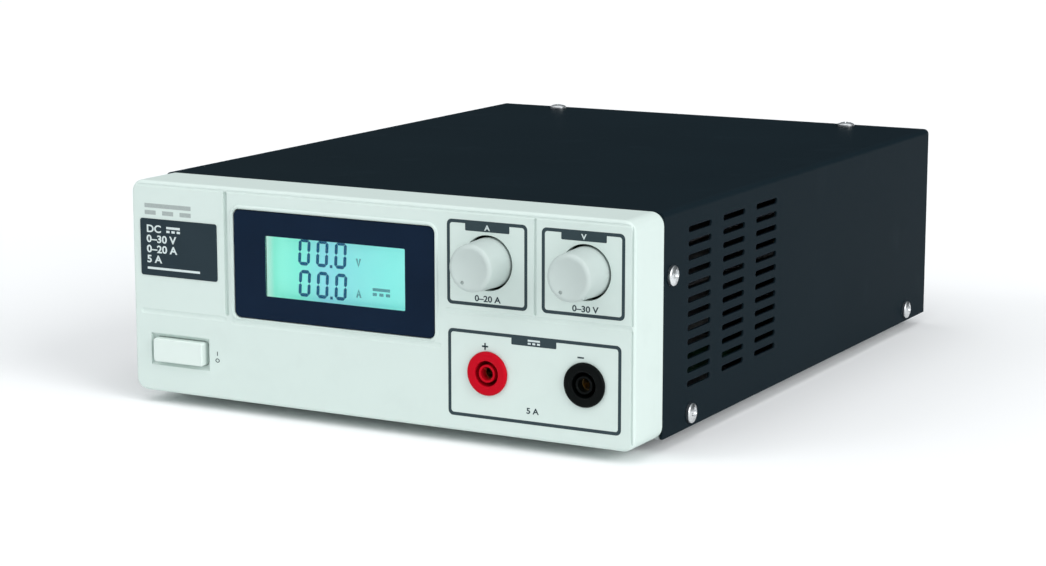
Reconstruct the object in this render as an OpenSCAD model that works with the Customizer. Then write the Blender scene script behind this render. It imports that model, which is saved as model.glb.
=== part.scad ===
// Bench power supply: a steel chassis and cover behind a moulded front bezel.
// Millimetres, +Z up, the front faces -Y, and the four feet stand on z = 0.

/* [Case] */
// Width of the case
case_w = 220; // [216:1:280]
// Depth of the case from the front face to the back edge of the cover
case_d = 300; // [290:1:380]
// Height of the case without its feet
case_h = 84; // [83:1:130]
// Height of the rubber feet
foot_h = 5; // [4:0.5:12]
// Diameter of a rubber foot
foot_dia = 16; // [12:1:20]
// Distance of a foot's centre from the side of the case
foot_inset_x = 22; // [16:1:30]
// Distance of a foot's centre from the front face and from the back edge
foot_inset_y = 35; // [35:1:50]
// Sheet thickness of the cover
cover_t = 1; // [0.8:0.1:1.5]
// Outer radius of the cover's bends
cover_bend_r = 2.2; // [2:0.1:4]
// Sheet thickness of the chassis and the rear panel
chassis_t = 1.2; // [1:0.1:1.6]
// Height of the chassis side flanges
flange_h = 14; // [11:0.5:20]

/* [Bezel] */
// Depth of the moulded front bezel
bezel_d = 22.8; // [21.8:0.1:30]
// Wall thickness around the bezel
bezel_wall = 2.5; // [2:0.1:3]
// Thickness of the bezel's front skin
face_t = 3; // [2.5:0.1:3.5]
// Corner radius of the bezel
bezel_corner_r = 4; // [2:0.5:6]

/* [Display] */
// Width of the dark window
window_w = 89.3; // [80:0.1:90]
// Height of the dark window
window_h = 41.9; // [40:0.1:44]
// Thickness of the dark window
window_t = 1.8; // [1.5:0.1:2]
// Distance of the window from the left side of the case
window_left = 48.1; // [47:0.1:52]
// Height of the window's centre above the bottom of the case
window_z = 54.65; // [53:0.05:56]
// Width of the glass of the display
glass_w = 68; // [64:0.5:70]
// Height of the glass of the display
glass_h = 30; // [28:0.5:31]

/* [Label plate] */
// Width of the label plate
label_w = 36.3; // [20:0.1:38]
// Height of the label plate
label_h = 22.5; // [10:0.1:26]
// Distance of the label plate from the left side of the case
label_left = 4; // [3:0.1:6]
// Height of the label plate's centre above the bottom of the case
label_z = 57.75; // [50:0.05:60]

/* [Power button] */
// Width of the power button
button_w = 23.3; // [18:0.1:24]
// Height of the power button
button_h = 9.3; // [8:0.1:10]
// How far the button stands out when it is latched in
button_out = 2; // [1:0.1:3]
// Travel of the button from latched in to released
button_travel = 3; // [2:0.1:3]
// Distance of the button from the left side of the case
button_left = 10.05; // [9:0.05:14]
// Height of the button's centre above the bottom of the case
button_z = 17.15; // [16:0.05:19]
// Depth of the scoop around the button
scoop_depth = 3.5; // [2.5:0.1:4]

/* [Knobs] */
// Diameter of a knob where it enters the panel
knob_dia = 18.8; // [17:0.1:20]
// Diameter of a knob at its front edge
knob_front_dia = 17.6; // [16:0.1:18.8]
// How far a knob stands out of the panel
knob_out = 13.5; // [11:0.5:18]
// Gap between a knob and its well
knob_gap = 0.9; // [0.5:0.1:1.2]
// Height of the knobs' centres above the bottom of the case
knob_z = 64; // [62:0.5:66]
// Diameter of the potentiometer shafts
pot_shaft_dia = 6; // [5:0.5:6.5]

/* [Front sockets] */
// Diameter of the plug pin that a socket takes
plug_dia = 4; // [4:1:4]
// Depth of the bore for the plug pin
socket_bore_l = 20; // [16:1:21]
// Diameter of the socket's front flange
socket_flange_dia = 16.5; // [15:0.5:18]
// Diameter of the socket's threaded body
socket_body_dia = 12; // [11:0.5:13]
// Height of the sockets' centres above the bottom of the case
socket_z = 23; // [20:0.5:26]
// Distance between the two columns of knobs and sockets
column_pitch = 40; // [38:0.5:42]
// Distance of the right column from the right side of the case
column_right = 20; // [20:0.5:24]

/* [Side vents] */
// Length of a vent slot
slot_l = 20.3; // [12:0.1:24]
// Height of a vent slot
slot_h = 2.3; // [1.5:0.1:3]
// Distance between the rows of slots
slot_row_pitch = 5.29; // [5:0.01:5.8]
// Distance between the columns of slots
slot_column_pitch = 31; // [28:0.5:36]
// Distance of the first column from the front face
slot_first_y = 44; // [40:0.5:60]
// Height of the lowest row above the bottom of the case
slot_first_z = 16.5; // [16.5:0.5:18]
// Number of slots in a column
slot_rows = 12; // [6:1:12]
// Number of columns of slots
slot_columns = 3; // [2:1:5]

/* [Fan] */
// Side of the fan's frame
fan_size = 60; // [60:1:60]
// Depth of the fan
fan_depth = 25; // [20:1:25]
// Spacing of the fan's four screws
fan_screw_pitch = 50; // [50:1:50]
// Distance of the fan's centre from the left side of the case
fan_left = 48; // [46:0.5:55]
// Height of the fan's centre above the bottom of the case
fan_z = 42; // [38:0.5:43]
// Number of fan blades
fan_blades = 7; // [5:1:9]

/* [Mains inlet] */
// Distance of the inlet's centre from the right side of the case
inlet_right = 38; // [34:0.5:44]
// Height of the inlet's centre above the bottom of the case
inlet_z = 32; // [26:0.5:50]
// How far the fuse drawer pulls out
drawer_travel = 14; // [8:0.5:16]

/* [Main terminals] */
// Distance between the two main terminals
terminal_pitch = 32; // [25:0.5:34]
// Height of the main terminals above the bottom of the case
terminal_z = 50; // [44:0.5:60]
// Diameter of a terminal stud
stud_dia = 7; // [6:0.5:8]
// Diameter of a terminal cap
cap_dia = 18; // [15:0.5:20]
// Length of a terminal cap
cap_l = 21; // [18:0.5:24]
// Thread pitch of the terminals
thread_pitch = 1; // [0.75:0.25:1.25]

/* [Power electronics] */
// Width of the main board
board_w = 180; // [176:1:184]
// Length of the main board
board_l = 190; // [186:1:200]
// Distance of the main board from the front face
board_front = 68; // [67:0.5:72]
// Height of the standoffs under the main board
standoff_h = 8; // [5:0.5:9]
// Height of the heat sinks
sink_h = 50; // [40:1:56]
// Length of the heat sinks
sink_l = 110; // [90:1:120]

/* [Hidden] */

$fn = 48;
half_w = case_w / 2;
running = 0.05;   // radial gap of a turning or sliding fit
press = 0.01;     // radial gap of two pieces pushed together
clear = 0.3;      // gap around a piece that drops into a pocket
cut = 1;          // how far a cutter runs past the face it opens

// Depths are measured from the front face, and heights from the bottom of the case.
cap_start = case_d + 6;
cap_end = cap_start + cap_l;
front_y = knob_out - (knob_out + cap_end) / 2;
inner_half_w = half_w - cover_t;
flange_x = inner_half_w - 0.2;
floor_z = chassis_t;
wall_back = bezel_d + chassis_t;
seam_y = bezel_d + 0.2;
rear_in = case_d - 1 - chassis_t;
rear_out = case_d - 1;

// Front panel layout
window_x = window_left + window_w / 2 - half_w;
label_x = label_left + label_w / 2 - half_w;
button_x = button_left + button_w / 2 - half_w;
voltage_x = half_w - column_right;
current_x = voltage_x - column_pitch;
columns = [current_x, voltage_x];
edge_step = 1;
window_pocket = window_t + 0.2;
display_x = window_x;
display_z = window_z + 0.25;
frame_wall = 2;
frame_w = glass_w + 2 * frame_wall + 2 * clear;
frame_h = glass_h + 2 * frame_wall;
glass_front = face_t + 1.5;
glass_t = 2.6;
control_y = bezel_d - 5.8;
control_t = 1.6;
control_left = window_x - window_w / 2 - 2;
control_step_x = current_x - 20;
control_right = voltage_x + 8;
control_top = window_z + 24.35;
control_low = window_z - 24.65;
control_step_z = knob_z - 20;
boss_dia = 6;
boss_bore_start = face_t + 3;
control_screws = [[control_left + 3.5, control_low + 4.5], [control_left + 3.5, control_top - 3.5],
    [control_step_x - 2, control_top - 3.5], [control_step_x - 2, control_low + 6],
    [current_x + column_pitch / 2, control_top - 3.5],
    [current_x + column_pitch / 2, control_step_z + 3.5]];
bezel_boss_dia = 7;
bezel_screw_l = 9;
bezel_screw_x = half_w - 8;
bezel_screw_low = 7;
bezel_screw_high = case_h - 7;
bezel_screw_places = [for (x = [-bezel_screw_x, bezel_screw_x], z = [bezel_screw_low, bezel_screw_high])
    [x, z]];

// Power button and its switch
button_flange_y = 9.8;
button_flange_t = 1.5;
guide_back = 6.5;
scoop_w = button_w + 4.5;
scoop_h = button_h + 3.6;
scoop_r = (pow(scoop_h / 2, 2) + pow(scoop_depth, 2)) / (2 * scoop_depth);
rod_dia = 4;
rod_end = 50;
switch_y = 42;
switch_l = 22;
switch_w = 16;
switch_h = 16;

// Knobs and potentiometers
pot_y = 9;
pot_dia = 16;
bush_y = 5;
bush_dia = 9;
knob_back = 2.5;
knob_edge_r = 1.6;
dish_depth = 1;
knob_hollow_dia = min(knob_dia - 3.4, knob_front_dia - 2.2);
pointer_angle = 150;

// Front sockets
well_dia = 9.6;
sleeve_dia = 6.8;
contact_dia = 5;
socket_flange_t = 1.5;
socket_l = 21;
tag_end = 27;
socket_nut_t = 4.5;

// Side and top screws of the cover
screw_dia = 3;
screw_head_dia = 7.6;
screw_head_h = 2.4;
screw_l = 8;
low_screw_z = 5.4;
low_screws = [46.4, case_d - 25];
lug_screw_y = bezel_d + 6.5;
lug_screw_z = 60;
lug_t = 3;
lug_x = flange_x - lug_t;
top_screw_x = half_w - 36;
top_screw_y = case_d - 10;
nut_dia = 6;
nut_t = 2.5;
top_flange_z = case_h - cover_t - 0.1 - chassis_t;

// Rear panel layout
fan_x = fan_left - half_w;
fan_front = rear_in - fan_depth;
fan_bore = fan_size - 2;
hub_dia = 30;
inlet_x = half_w - inlet_right;
inlet_flange_w = 50;
inlet_flange_h = 36;
inlet_flange_t = 3;
inlet_body_w = 27.6;
inlet_body_h = 32.2;
inlet_body_l = 23;
inlet_front = rear_out + inlet_flange_t;
cavity_w = 24.4;
cavity_h = 16.8;
cavity_l = 18;
cavity_z = inlet_z + 6.5;
drawer_z = inlet_z - 9.5;
drawer_w = 22;
drawer_h = 7.8;
drawer_l = 20;
fuse_dia = 5.2;
fuse_l = 20;
terminal_mid_x = (fan_x + fan_size / 2 + inlet_x - inlet_flange_w / 2) / 2;
terminals = [terminal_mid_x - terminal_pitch / 2, terminal_mid_x + terminal_pitch / 2];
terminal_base_dia = 19;
terminal_base_t = 6;
stud_back = rear_in - 15;
stud_end = cap_end - 2;
stud_bore_l = 14;
insert_dia = 11;
insert_start = cap_start + 3;
insert_l = 12;
lug_ring_dia = 13;
washer_t = 3;
lug_ring_t = 1.5;

// Power electronics
board_t = 1.6;
board_z = floor_z + standoff_h;
board_top = board_z + board_t;
standoff_x = board_w / 2 - 6;
standoffs = [for (x = [-standoff_x, standoff_x], k = [0, 0.5, 1])
    [x, board_front + 6 + k * (board_l - 12)]];
sink_y = board_front + 22;
sink_inner_x = 54;
sink_base_t = 4;
fin_l = 20;
transformer_y = board_front + 92;
ribbon_x = -20;
output_pad_y = board_front + board_l - 8;

// A round bar along Y between two depths
module bar_y(dia, y0, y1) {
    translate([0, y0, 0]) rotate([-90, 0, 0]) cylinder(d = dia, h = y1 - y0);
}

// A box given by its limits
module block(x0, x1, y0, y1, z0, z1) {
    translate([x0, y0, z0]) cube([x1 - x0, y1 - y0, z1 - z0]);
}

// A flat rectangle with round corners, centred
module rounded_rect(w, h, r) {
    square([w - 2 * r, h], center = true);
    square([w, h - 2 * r], center = true);
    for (x = [-1, 1], z = [-1, 1]) translate([x * (w / 2 - r), z * (h / 2 - r)]) circle(r);
}

// An upright plate with round corners between two depths
module plate_y(w, h, r, y0, y1) {
    translate([0, y1, 0]) rotate([90, 0, 0]) linear_extrude(y1 - y0) rounded_rect(w, h, r);
}

// Moves a piece drawn in case distances to its place over the feet
module in_case() {
    translate([0, front_y, foot_h]) children();
}

// Point on a smooth curve through four points
function curve_point(a, b, c, d, t) = 0.5 * (2 * b + (c - a) * t + (2 * a - 5 * b + 4 * c - d) * t * t
    + (3 * b - a - 3 * c + d) * t * t * t);

// A route of round numbers, filled in with a smooth curve
function route(p, steps = 3) = let (n = len(p) - 1) concat(
    [for (i = [0:n - 1], k = [0:steps - 1])
        curve_point(p[max(i - 1, 0)], p[i], p[i + 1], p[min(i + 2, n)], k / steps)],
    [p[n]]);

function unit(v) = v / norm(v);

// A wire swept along a route; side is a direction that the route never takes
module wire(points, dia, side, sides = 8) {
    p = route(points);
    last = len(p) - 1;
    rings = [for (i = [0:last])
        let (t = unit(p[min(i + 1, last)] - p[max(i - 1, 0)]), u = unit(cross(t, side)), v = cross(t, u))
        for (k = [0:sides - 1])
            p[i] + dia / 2 * (cos(360 * k / sides) * u + sin(360 * k / sides) * v)];
    skin = [for (i = [0:last - 1], k = [0:sides - 1])
        let (a = i * sides + k, b = i * sides + (k + 1) % sides) [a, a + sides, b + sides, b]];
    polyhedron(rings, concat([[for (k = [0:sides - 1]) k]], skin,
        [[for (k = [sides - 1:-1:0]) last * sides + k]]));
}

// A pan-head screw standing on z = 0 with its shank pointing down
module pan_screw(head_dia, head_h, shank_dia, shank_l) {
    difference() {
        union() {
            rotate_extrude() intersection() {
                square([head_dia / 2, head_h]);
                translate([0, head_h - head_dia]) circle(head_dia, $fn = 96);
            }
            translate([0, 0, -shank_l]) cylinder(d = shank_dia, h = shank_l + head_h / 2);
        }
        for (a = [0, 90]) rotate([0, 0, a])
            translate([-head_dia * 0.28, -head_dia * 0.06, head_h * 0.45])
                cube([head_dia * 0.56, head_dia * 0.12, head_h]);
    }
}

// ---- Front ----

module front_bezel() {
    color("#D6E2DE") in_case() difference() {
        union() {
            difference() {
                translate([0, 0, case_h / 2]) {
                    plate_y(case_w, case_h, bezel_corner_r, edge_step, bezel_d);
                    plate_y(case_w - 2 * edge_step, case_h - 2 * edge_step, bezel_corner_r, 0, edge_step);
                }
                translate([0, 0, case_h / 2])
                    plate_y(case_w - 2 * bezel_wall, case_h - 2 * bezel_wall, 2, face_t, bezel_d + cut);
            }
            translate([window_x, 0, window_z]) plate_y(window_w + 3, window_h + 3, 3.5, -0.5, face_t);
            block(button_x - scoop_w / 2 - 2.5, button_x + scoop_w / 2 + 2.5, face_t - cut / 2, guide_back,
                button_z - scoop_h / 2 - 2, button_z + scoop_h / 2 + 2);
            for (p = control_screws) translate([p[0], 0, p[1]]) bar_y(boss_dia, face_t - cut / 2, control_y);
            for (p = bezel_screw_places) translate([p[0], 0, p[1]])
                bar_y(bezel_boss_dia, face_t - cut / 2, bezel_d);
            for (s = [-1, 1]) translate([s * (lug_x + lug_t / 2), 0, lug_screw_z])
                block(-lug_t / 2, lug_t / 2, bezel_d - 6, lug_screw_y + 6, -8, 8);
        }
        translate([window_x, 0, window_z])
            plate_y(window_w + 2 * clear, window_h + 2 * clear, 2.8, -cut, window_pocket);
        translate([display_x, 0, display_z])
            plate_y(glass_w - 2, glass_h - 2, 1, 0, face_t + cut);
        for (x = columns) {
            translate([x, 0, knob_z]) bar_y(knob_dia + 2 * knob_gap, -cut, face_t + cut);
            translate([x, 0, socket_z]) bar_y(socket_body_dia + 0.2, -cut, face_t + cut);
        }
        intersection() {
            translate([button_x - scoop_w / 2, scoop_depth - scoop_r, button_z])
                rotate([0, 90, 0]) cylinder(r = scoop_r, h = scoop_w, $fn = 96);
            block(-half_w, half_w, -cut, scoop_depth + cut, 0, case_h);
        }
        translate([button_x, 0, button_z])
            plate_y(button_w + 2 * clear, button_h + 2 * clear, 1, 0, guide_back + cut);
        for (p = control_screws) translate([p[0], 0, p[1]]) bar_y(2.4, boss_bore_start, control_y + cut);
        for (p = bezel_screw_places) translate([p[0], 0, p[1]])
            bar_y(2.9, wall_back - bezel_screw_l - 2, bezel_d + cut);
        translate([-half_w, lug_screw_y, lug_screw_z]) rotate([0, 90, 0])
            cylinder(d = screw_dia + 2 * running, h = case_w);
    }
}

module display_window() {
    color("#142232") in_case() translate([window_x, 0, window_z])
        plate_y(window_w, window_h, 2.5, window_pocket - window_t, window_pocket);
}

module display_frame() {
    color("#20262A") in_case() translate([display_x, 0, display_z]) difference() {
        plate_y(frame_w, frame_h, 1, face_t, control_y);
        plate_y(glass_w - 3, glass_h - 3, 0.5, face_t - cut, control_y);
        block(-glass_w / 2 - clear / 2, glass_w / 2 + clear / 2, glass_front, control_y + cut,
            -glass_h / 2 - clear / 2, glass_h / 2 + clear / 2);
    }
}

module display_glass() {
    color("#7DEBE1") in_case() translate([display_x, 0, display_z])
        block(-glass_w / 2, glass_w / 2, glass_front, glass_front + glass_t, -glass_h / 2, glass_h / 2);
}

module display_backlight() {
    color("#EEF4F2") in_case() translate([display_x, 0, display_z])
        block(-glass_w / 2, glass_w / 2, glass_front + glass_t, control_y, -glass_h / 2, glass_h / 2);
}

module label_plate() {
    color("#2C3C46") in_case() translate([label_x, 0, label_z])
        plate_y(label_w, label_h, 1, -0.3, 0);
}

module control_board() {
    color("#1E5A38") in_case() difference() {
        union() {
            block(control_left, control_step_x + 2, control_y, control_y + control_t,
                control_low, control_top);
            block(control_step_x, control_right, control_y, control_y + control_t,
                control_step_z, control_top);
        }
        for (p = control_screws) translate([p[0], 0, p[1]])
            bar_y(2.9, control_y - cut, control_y + control_t + cut);
    }
}

module control_board_screws() {
    color("#C8CACC") in_case() for (p = control_screws)
        translate([p[0], control_y + control_t, p[1]]) rotate([-90, 0, 0])
            pan_screw(5, 1.8, 2.3, control_t + control_y - boss_bore_start - 2);
}

module pot(x) {
    color("#8A8F93") in_case() translate([x, 0, knob_z]) difference() {
        union() {
            bar_y(pot_dia, pot_y, control_y);
            bar_y(bush_dia, bush_y, pot_y + cut);
        }
        bar_y(pot_shaft_dia + 2 * running, bush_y - cut, control_y - 4);
    }
}

module current_pot() { pot(current_x); }

module voltage_pot() { pot(voltage_x); }

module pot_shaft(x) {
    color("#B8BCC0") in_case() translate([x, 0, knob_z])
        bar_y(pot_shaft_dia, 4.5 - knob_out, control_y - 4.5);
}

module current_shaft() { pot_shaft(current_x); }

module voltage_shaft() { pot_shaft(voltage_x); }

// Half section of a knob: a taper, a round front edge and a dished front
function knob_section() = let (
        edge = knob_front_dia / 2 - knob_edge_r,
        dish_r = (edge * edge + dish_depth * dish_depth) / (2 * dish_depth),
        half = asin(edge / dish_r))
    concat([[0, -knob_back], [knob_dia / 2, -knob_back]],
        [for (a = [0:15:90]) [edge + knob_edge_r * cos(a), knob_out - knob_edge_r * (1 - sin(a))]],
        [for (k = [1:6]) let (a = half * (1 - k / 6))
            [dish_r * sin(a), knob_out - dish_depth + dish_r * (1 - cos(a))]]);

module knob(x) {
    color("#DCE6E2") in_case() translate([x, 0, knob_z]) difference() {
        rotate([90, 0, 0]) rotate_extrude() polygon(knob_section());
        difference() {
            bar_y(knob_hollow_dia, 4 - knob_out, knob_back + cut);
            bar_y(pot_shaft_dia + 4, -knob_out, knob_back + 2 * cut);
        }
        bar_y(pot_shaft_dia + 2 * press, 4.5 - knob_out, knob_back + cut);
        rotate([0, -pointer_angle, 0]) translate([0, 0, knob_front_dia / 2 - 2.6])
            bar_y(1.4, -knob_out - cut, 0.7 - knob_out);
    }
}

module current_knob() { knob(current_x); }

module voltage_knob() { knob(voltage_x); }

module power_button() {
    color("#DCE6E2") in_case() translate([button_x, 0, button_z]) difference() {
        union() {
            plate_y(button_w, button_h, 1, -button_out, button_flange_y);
            plate_y(button_w + 3, button_h + 2.4, 1, button_flange_y, button_flange_y + button_flange_t);
        }
        difference() {
            plate_y(button_w - 2.6, button_h - 2.6, 0.6, 0, button_flange_y + button_flange_t + cut);
            bar_y(6.4, -cut, button_flange_y + button_flange_t + 2 * cut);
        }
        bar_y(rod_dia + 2 * press, 1, button_flange_y + button_flange_t + cut);
    }
}

module power_rod() {
    color("#E8E8E4") in_case() translate([button_x, 0, button_z]) bar_y(rod_dia, 1, rod_end);
}

module power_switch() {
    color("#26282B") in_case() translate([button_x, 0, button_z]) difference() {
        block(-switch_w / 2, switch_w / 2, switch_y, switch_y + switch_l, -switch_h / 2, switch_h / 2);
        bar_y(rod_dia + 2 * running, switch_y - cut, rod_end + 4);
    }
}

module switch_bracket() {
    back = switch_y + switch_l;
    color("#B4B8BA") in_case() {
        block(button_x - 9, button_x + 9, back - 18, back + chassis_t, floor_z, floor_z + chassis_t);
        block(button_x - 9, button_x + 9, back, back + chassis_t, floor_z, button_z + switch_h / 2);
    }
}

module socket(x, shade) {
    color(shade) in_case() translate([x, 0, socket_z]) difference() {
        union() {
            bar_y(socket_flange_dia, -socket_flange_t + 0.5, 0);
            bar_y(socket_flange_dia - 1, -socket_flange_t, 0);
            bar_y(socket_body_dia, -cut, socket_l);
        }
        difference() {
            bar_y(well_dia, -socket_flange_t - cut, socket_l - 3);
            bar_y(sleeve_dia, -socket_flange_t + 0.5, socket_l);
        }
        bar_y(contact_dia + 2 * press, -socket_flange_t - cut, socket_l + cut);
    }
}

module positive_socket() { socket(current_x, "#E10F32"); }

module negative_socket() { socket(voltage_x, "#17191C"); }

module socket_contacts() {
    front = -socket_flange_t + 1.2;
    color("#C9A24A") in_case() for (x = columns) translate([x, 0, socket_z]) difference() {
        bar_y(contact_dia, front, tag_end);
        bar_y(plug_dia, front - cut, front + socket_bore_l);
    }
}

module socket_nuts() {
    color("#B8BCC0") in_case() for (x = columns) translate([x, 0, socket_z]) difference() {
        rotate([-90, 0, 0]) translate([0, 0, face_t])
            cylinder(d = socket_body_dia + 6, h = socket_nut_t, $fn = 6);
        bar_y(socket_body_dia + 2 * running, face_t - cut, face_t + socket_nut_t + cut);
    }
}

// ---- Case ----

module chassis_base() {
    color("#A9AEB1") in_case() difference() {
        union() {
            block(-flange_x, flange_x, bezel_d, rear_out, 0, floor_z);
            for (s = [-1, 1]) translate([s * (flange_x - chassis_t / 2), 0, 0])
                block(-chassis_t / 2, chassis_t / 2, wall_back + 2, rear_in - 2, 0, flange_h);
            block(-lug_x + 0.3, lug_x - 0.3, bezel_d, wall_back, 0, case_h - 4);
        }
        for (p = bezel_screw_places) translate([p[0], 0, p[1]]) bar_y(3.4, bezel_d - cut, wall_back + cut);
        for (x = columns) translate([x, 0, socket_z]) bar_y(14, bezel_d - cut, wall_back + cut);
        translate([button_x, 0, button_z]) bar_y(8, bezel_d - cut, wall_back + cut);
        block(ribbon_x - 16, ribbon_x + 16, bezel_d - cut, wall_back + cut, 35, 47);
        for (x = [-1, 1], y = [foot_inset_y, case_d - foot_inset_y])
            translate([x * (half_w - foot_inset_x), y, -cut]) cylinder(d = 3.4, h = chassis_t + 2 * cut);
        for (y = low_screws) translate([-half_w, y, low_screw_z]) rotate([0, 90, 0])
            cylinder(d = screw_dia + 0.4, h = case_w);
        for (p = rivet_places()) translate([p[0], p[1], -cut]) cylinder(d = 3.2, h = chassis_t + 2 * cut);
        for (p = standoffs) translate([p[0], p[1], -cut]) cylinder(d = 3.4, h = chassis_t + 2 * cut);
    }
}

// End view of the cover: a sheet bent down at both sides
module cover_outline(inset, r) {
    top = case_h - inset;
    w = case_w - 2 * inset;
    translate([0, top - 20]) rounded_rect(w, 40, r);
    translate([-w / 2, -inset]) square([w, top - 20 + inset]);
}

module top_cover() {
    color("#20272C") in_case() difference() {
        translate([0, case_d, 0]) rotate([90, 0, 0]) linear_extrude(case_d - seam_y) difference() {
            cover_outline(0, cover_bend_r);
            cover_outline(cover_t, cover_bend_r - cover_t);
        }
        for (c = [0:slot_columns - 1], k = [0:slot_rows - 1])
            translate([-half_w - cut, slot_first_y + c * slot_column_pitch,
                slot_first_z + k * slot_row_pitch - slot_h / 2])
                cube([case_w + 2 * cut, slot_l, slot_h]);
        for (y = low_screws) translate([-half_w - cut, y, low_screw_z]) rotate([0, 90, 0])
            cylinder(d = 4, h = case_w + 2 * cut);
        translate([-half_w - cut, lug_screw_y, lug_screw_z]) rotate([0, 90, 0])
            cylinder(d = 4, h = case_w + 2 * cut);
        for (s = [-1, 1]) translate([s * top_screw_x, top_screw_y, case_h - 3]) cylinder(d = 4, h = 6);
    }
}

function rivet_places() = [for (x = [-0.82, -0.3, 0.3, 0.82]) [x * half_w, rear_in - 7]];

module rear_panel() {
    w = inner_half_w - 2;
    color("#A9AEB1") in_case() difference() {
        union() {
            block(-w, w, rear_in, rear_out, floor_z, top_flange_z + chassis_t);
            block(-w, w, rear_in - 14, rear_out, floor_z, floor_z + chassis_t);
            block(-w, w, rear_in - 14, rear_out, top_flange_z, top_flange_z + chassis_t);
        }
        translate([fan_x, 0, fan_z]) {
            bar_y(fan_bore - 1, rear_in - cut, rear_out + cut);
            for (x = [-1, 1], z = [-1, 1])
                translate([x * fan_screw_pitch / 2, 0, z * fan_screw_pitch / 2])
                    bar_y(4.5, rear_in - cut, rear_out + cut);
        }
        translate([inlet_x, 0, inlet_z]) {
            plate_y(inlet_body_w + 0.4, inlet_body_h + 0.4, 1, rear_in - cut, rear_out + cut);
            for (s = [-1, 1]) translate([s * 20, 0, 0]) bar_y(3.3, rear_in - cut, rear_out + cut);
        }
        for (x = terminals) translate([x, 0, terminal_z])
            bar_y(stud_dia + 3, rear_in - cut, rear_out + cut);
        for (p = rivet_places()) translate([p[0], p[1], 0]) cylinder(d = 3.2, h = 5);
        for (s = [-1, 1]) translate([s * top_screw_x, top_screw_y, top_flange_z - cut])
            cylinder(d = screw_dia + 0.4, h = chassis_t + 2 * cut);
    }
}

module bezel_screws() {
    color("#C8CACC") in_case() for (p = bezel_screw_places)
        translate([p[0], wall_back, p[1]]) rotate([-90, 0, 0]) pan_screw(5.6, 2, 2.8, bezel_screw_l);
}

module cover_screws() {
    color("#D8DADC") in_case() {
        for (s = [-1, 1], p = [[low_screws[0], low_screw_z], [low_screws[1], low_screw_z],
            [lug_screw_y, lug_screw_z]])
            translate([s * half_w, p[0], p[1]]) rotate([0, s * 90, 0])
                pan_screw(screw_head_dia, screw_head_h, screw_dia, screw_l);
        for (s = [-1, 1]) translate([s * top_screw_x, top_screw_y, case_h])
            pan_screw(screw_head_dia, screw_head_h, screw_dia, screw_l);
    }
}

// A pressed-in nut standing on z = 0
module clinch_nut() {
    difference() {
        cylinder(d = nut_dia, h = nut_t);
        translate([0, 0, -cut]) cylinder(d = screw_dia + 2 * running, h = nut_t + 2 * cut);
    }
}

module clinch_nuts() {
    color("#C8CACC") in_case() {
        for (s = [-1, 1], y = low_screws) translate([s * (flange_x - chassis_t), y, low_screw_z])
            rotate([0, -s * 90, 0]) clinch_nut();
        for (s = [-1, 1]) translate([s * top_screw_x, top_screw_y, top_flange_z - nut_t]) clinch_nut();
    }
}

module rear_rivets() {
    color("#C8CACC") in_case() for (p = rivet_places()) translate([p[0], p[1], -0.8]) {
        cylinder(d = 5.5, h = 0.8);
        cylinder(d = 3.2 - 2 * press, h = 0.8 + 2 * chassis_t);
        translate([0, 0, 0.8 + 2 * chassis_t]) cylinder(d = 5, h = 1);
    }
}

// Foot centres in case distances
function foot_places() = [for (x = [-1, 1], y = [foot_inset_y, case_d - foot_inset_y])
    [x * (half_w - foot_inset_x), y]];

module feet() {
    color("#1C1C1E") in_case() for (p = foot_places()) translate([p[0], p[1], -foot_h]) difference() {
        union() {
            cylinder(d = foot_dia - 2, h = 1);
            translate([0, 0, 1]) cylinder(d = foot_dia, h = foot_h - 1);
        }
        translate([0, 0, -cut]) cylinder(d = 7, h = cut + foot_h - 2);
        translate([0, 0, -cut]) cylinder(d = 3.4, h = foot_h + 2 * cut);
    }
}

module foot_fixings() {
    color("#C8CACC") in_case() for (p = foot_places()) translate([p[0], p[1], 0]) {
        translate([0, 0, -2]) rotate([180, 0, 0]) pan_screw(5.8, 1.8, 3, 2 + chassis_t + 4);
        translate([0, 0, floor_z]) difference() {
            cylinder(d = 6.3, h = 2.4, $fn = 6);
            translate([0, 0, -cut]) cylinder(d = 3 + 2 * running, h = 2.4 + 2 * cut);
        }
    }
}

// ---- Fan ----

module fan_frame() {
    motor_t = 3;
    color("#26282B") in_case() translate([fan_x, 0, fan_z]) difference() {
        union() {
            difference() {
                plate_y(fan_size, fan_size, 5, fan_front, rear_in);
                bar_y(fan_bore, fan_front - cut, rear_in + cut);
            }
            bar_y(hub_dia, fan_front, fan_front + motor_t);
            for (a = [45, 135]) rotate([0, a, 0])
                block(-fan_bore / 2 - 1, fan_bore / 2 + 1, fan_front, fan_front + motor_t, -2, 2);
        }
        bar_y(3 + 2 * running, fan_front - cut, fan_front + motor_t + cut);
        for (x = [-1, 1], z = [-1, 1])
            translate([x * fan_screw_pitch / 2, 0, z * fan_screw_pitch / 2])
                bar_y(4.5, fan_front - cut, rear_in + cut);
    }
}

module fan_rotor() {
    start = fan_front + 4;
    end = rear_in - 2;
    reach = fan_bore / 2 - 1;
    color("#1E2022") in_case() translate([fan_x, 0, fan_z]) {
        bar_y(3, fan_front + 0.5, start + cut);
        bar_y(hub_dia, start, end);
        intersection() {
            for (k = [0:fan_blades - 1]) rotate([0, k * 360 / fan_blades, 0])
                translate([0, (start + end) / 2, 0]) rotate([0, 0, 42])
                    block(-0.9, 0.9, -10, 10, hub_dia / 2 - 1, reach + 3);
            bar_y(2 * reach, start + 0.5, end - 0.5);
        }
    }
}

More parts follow.
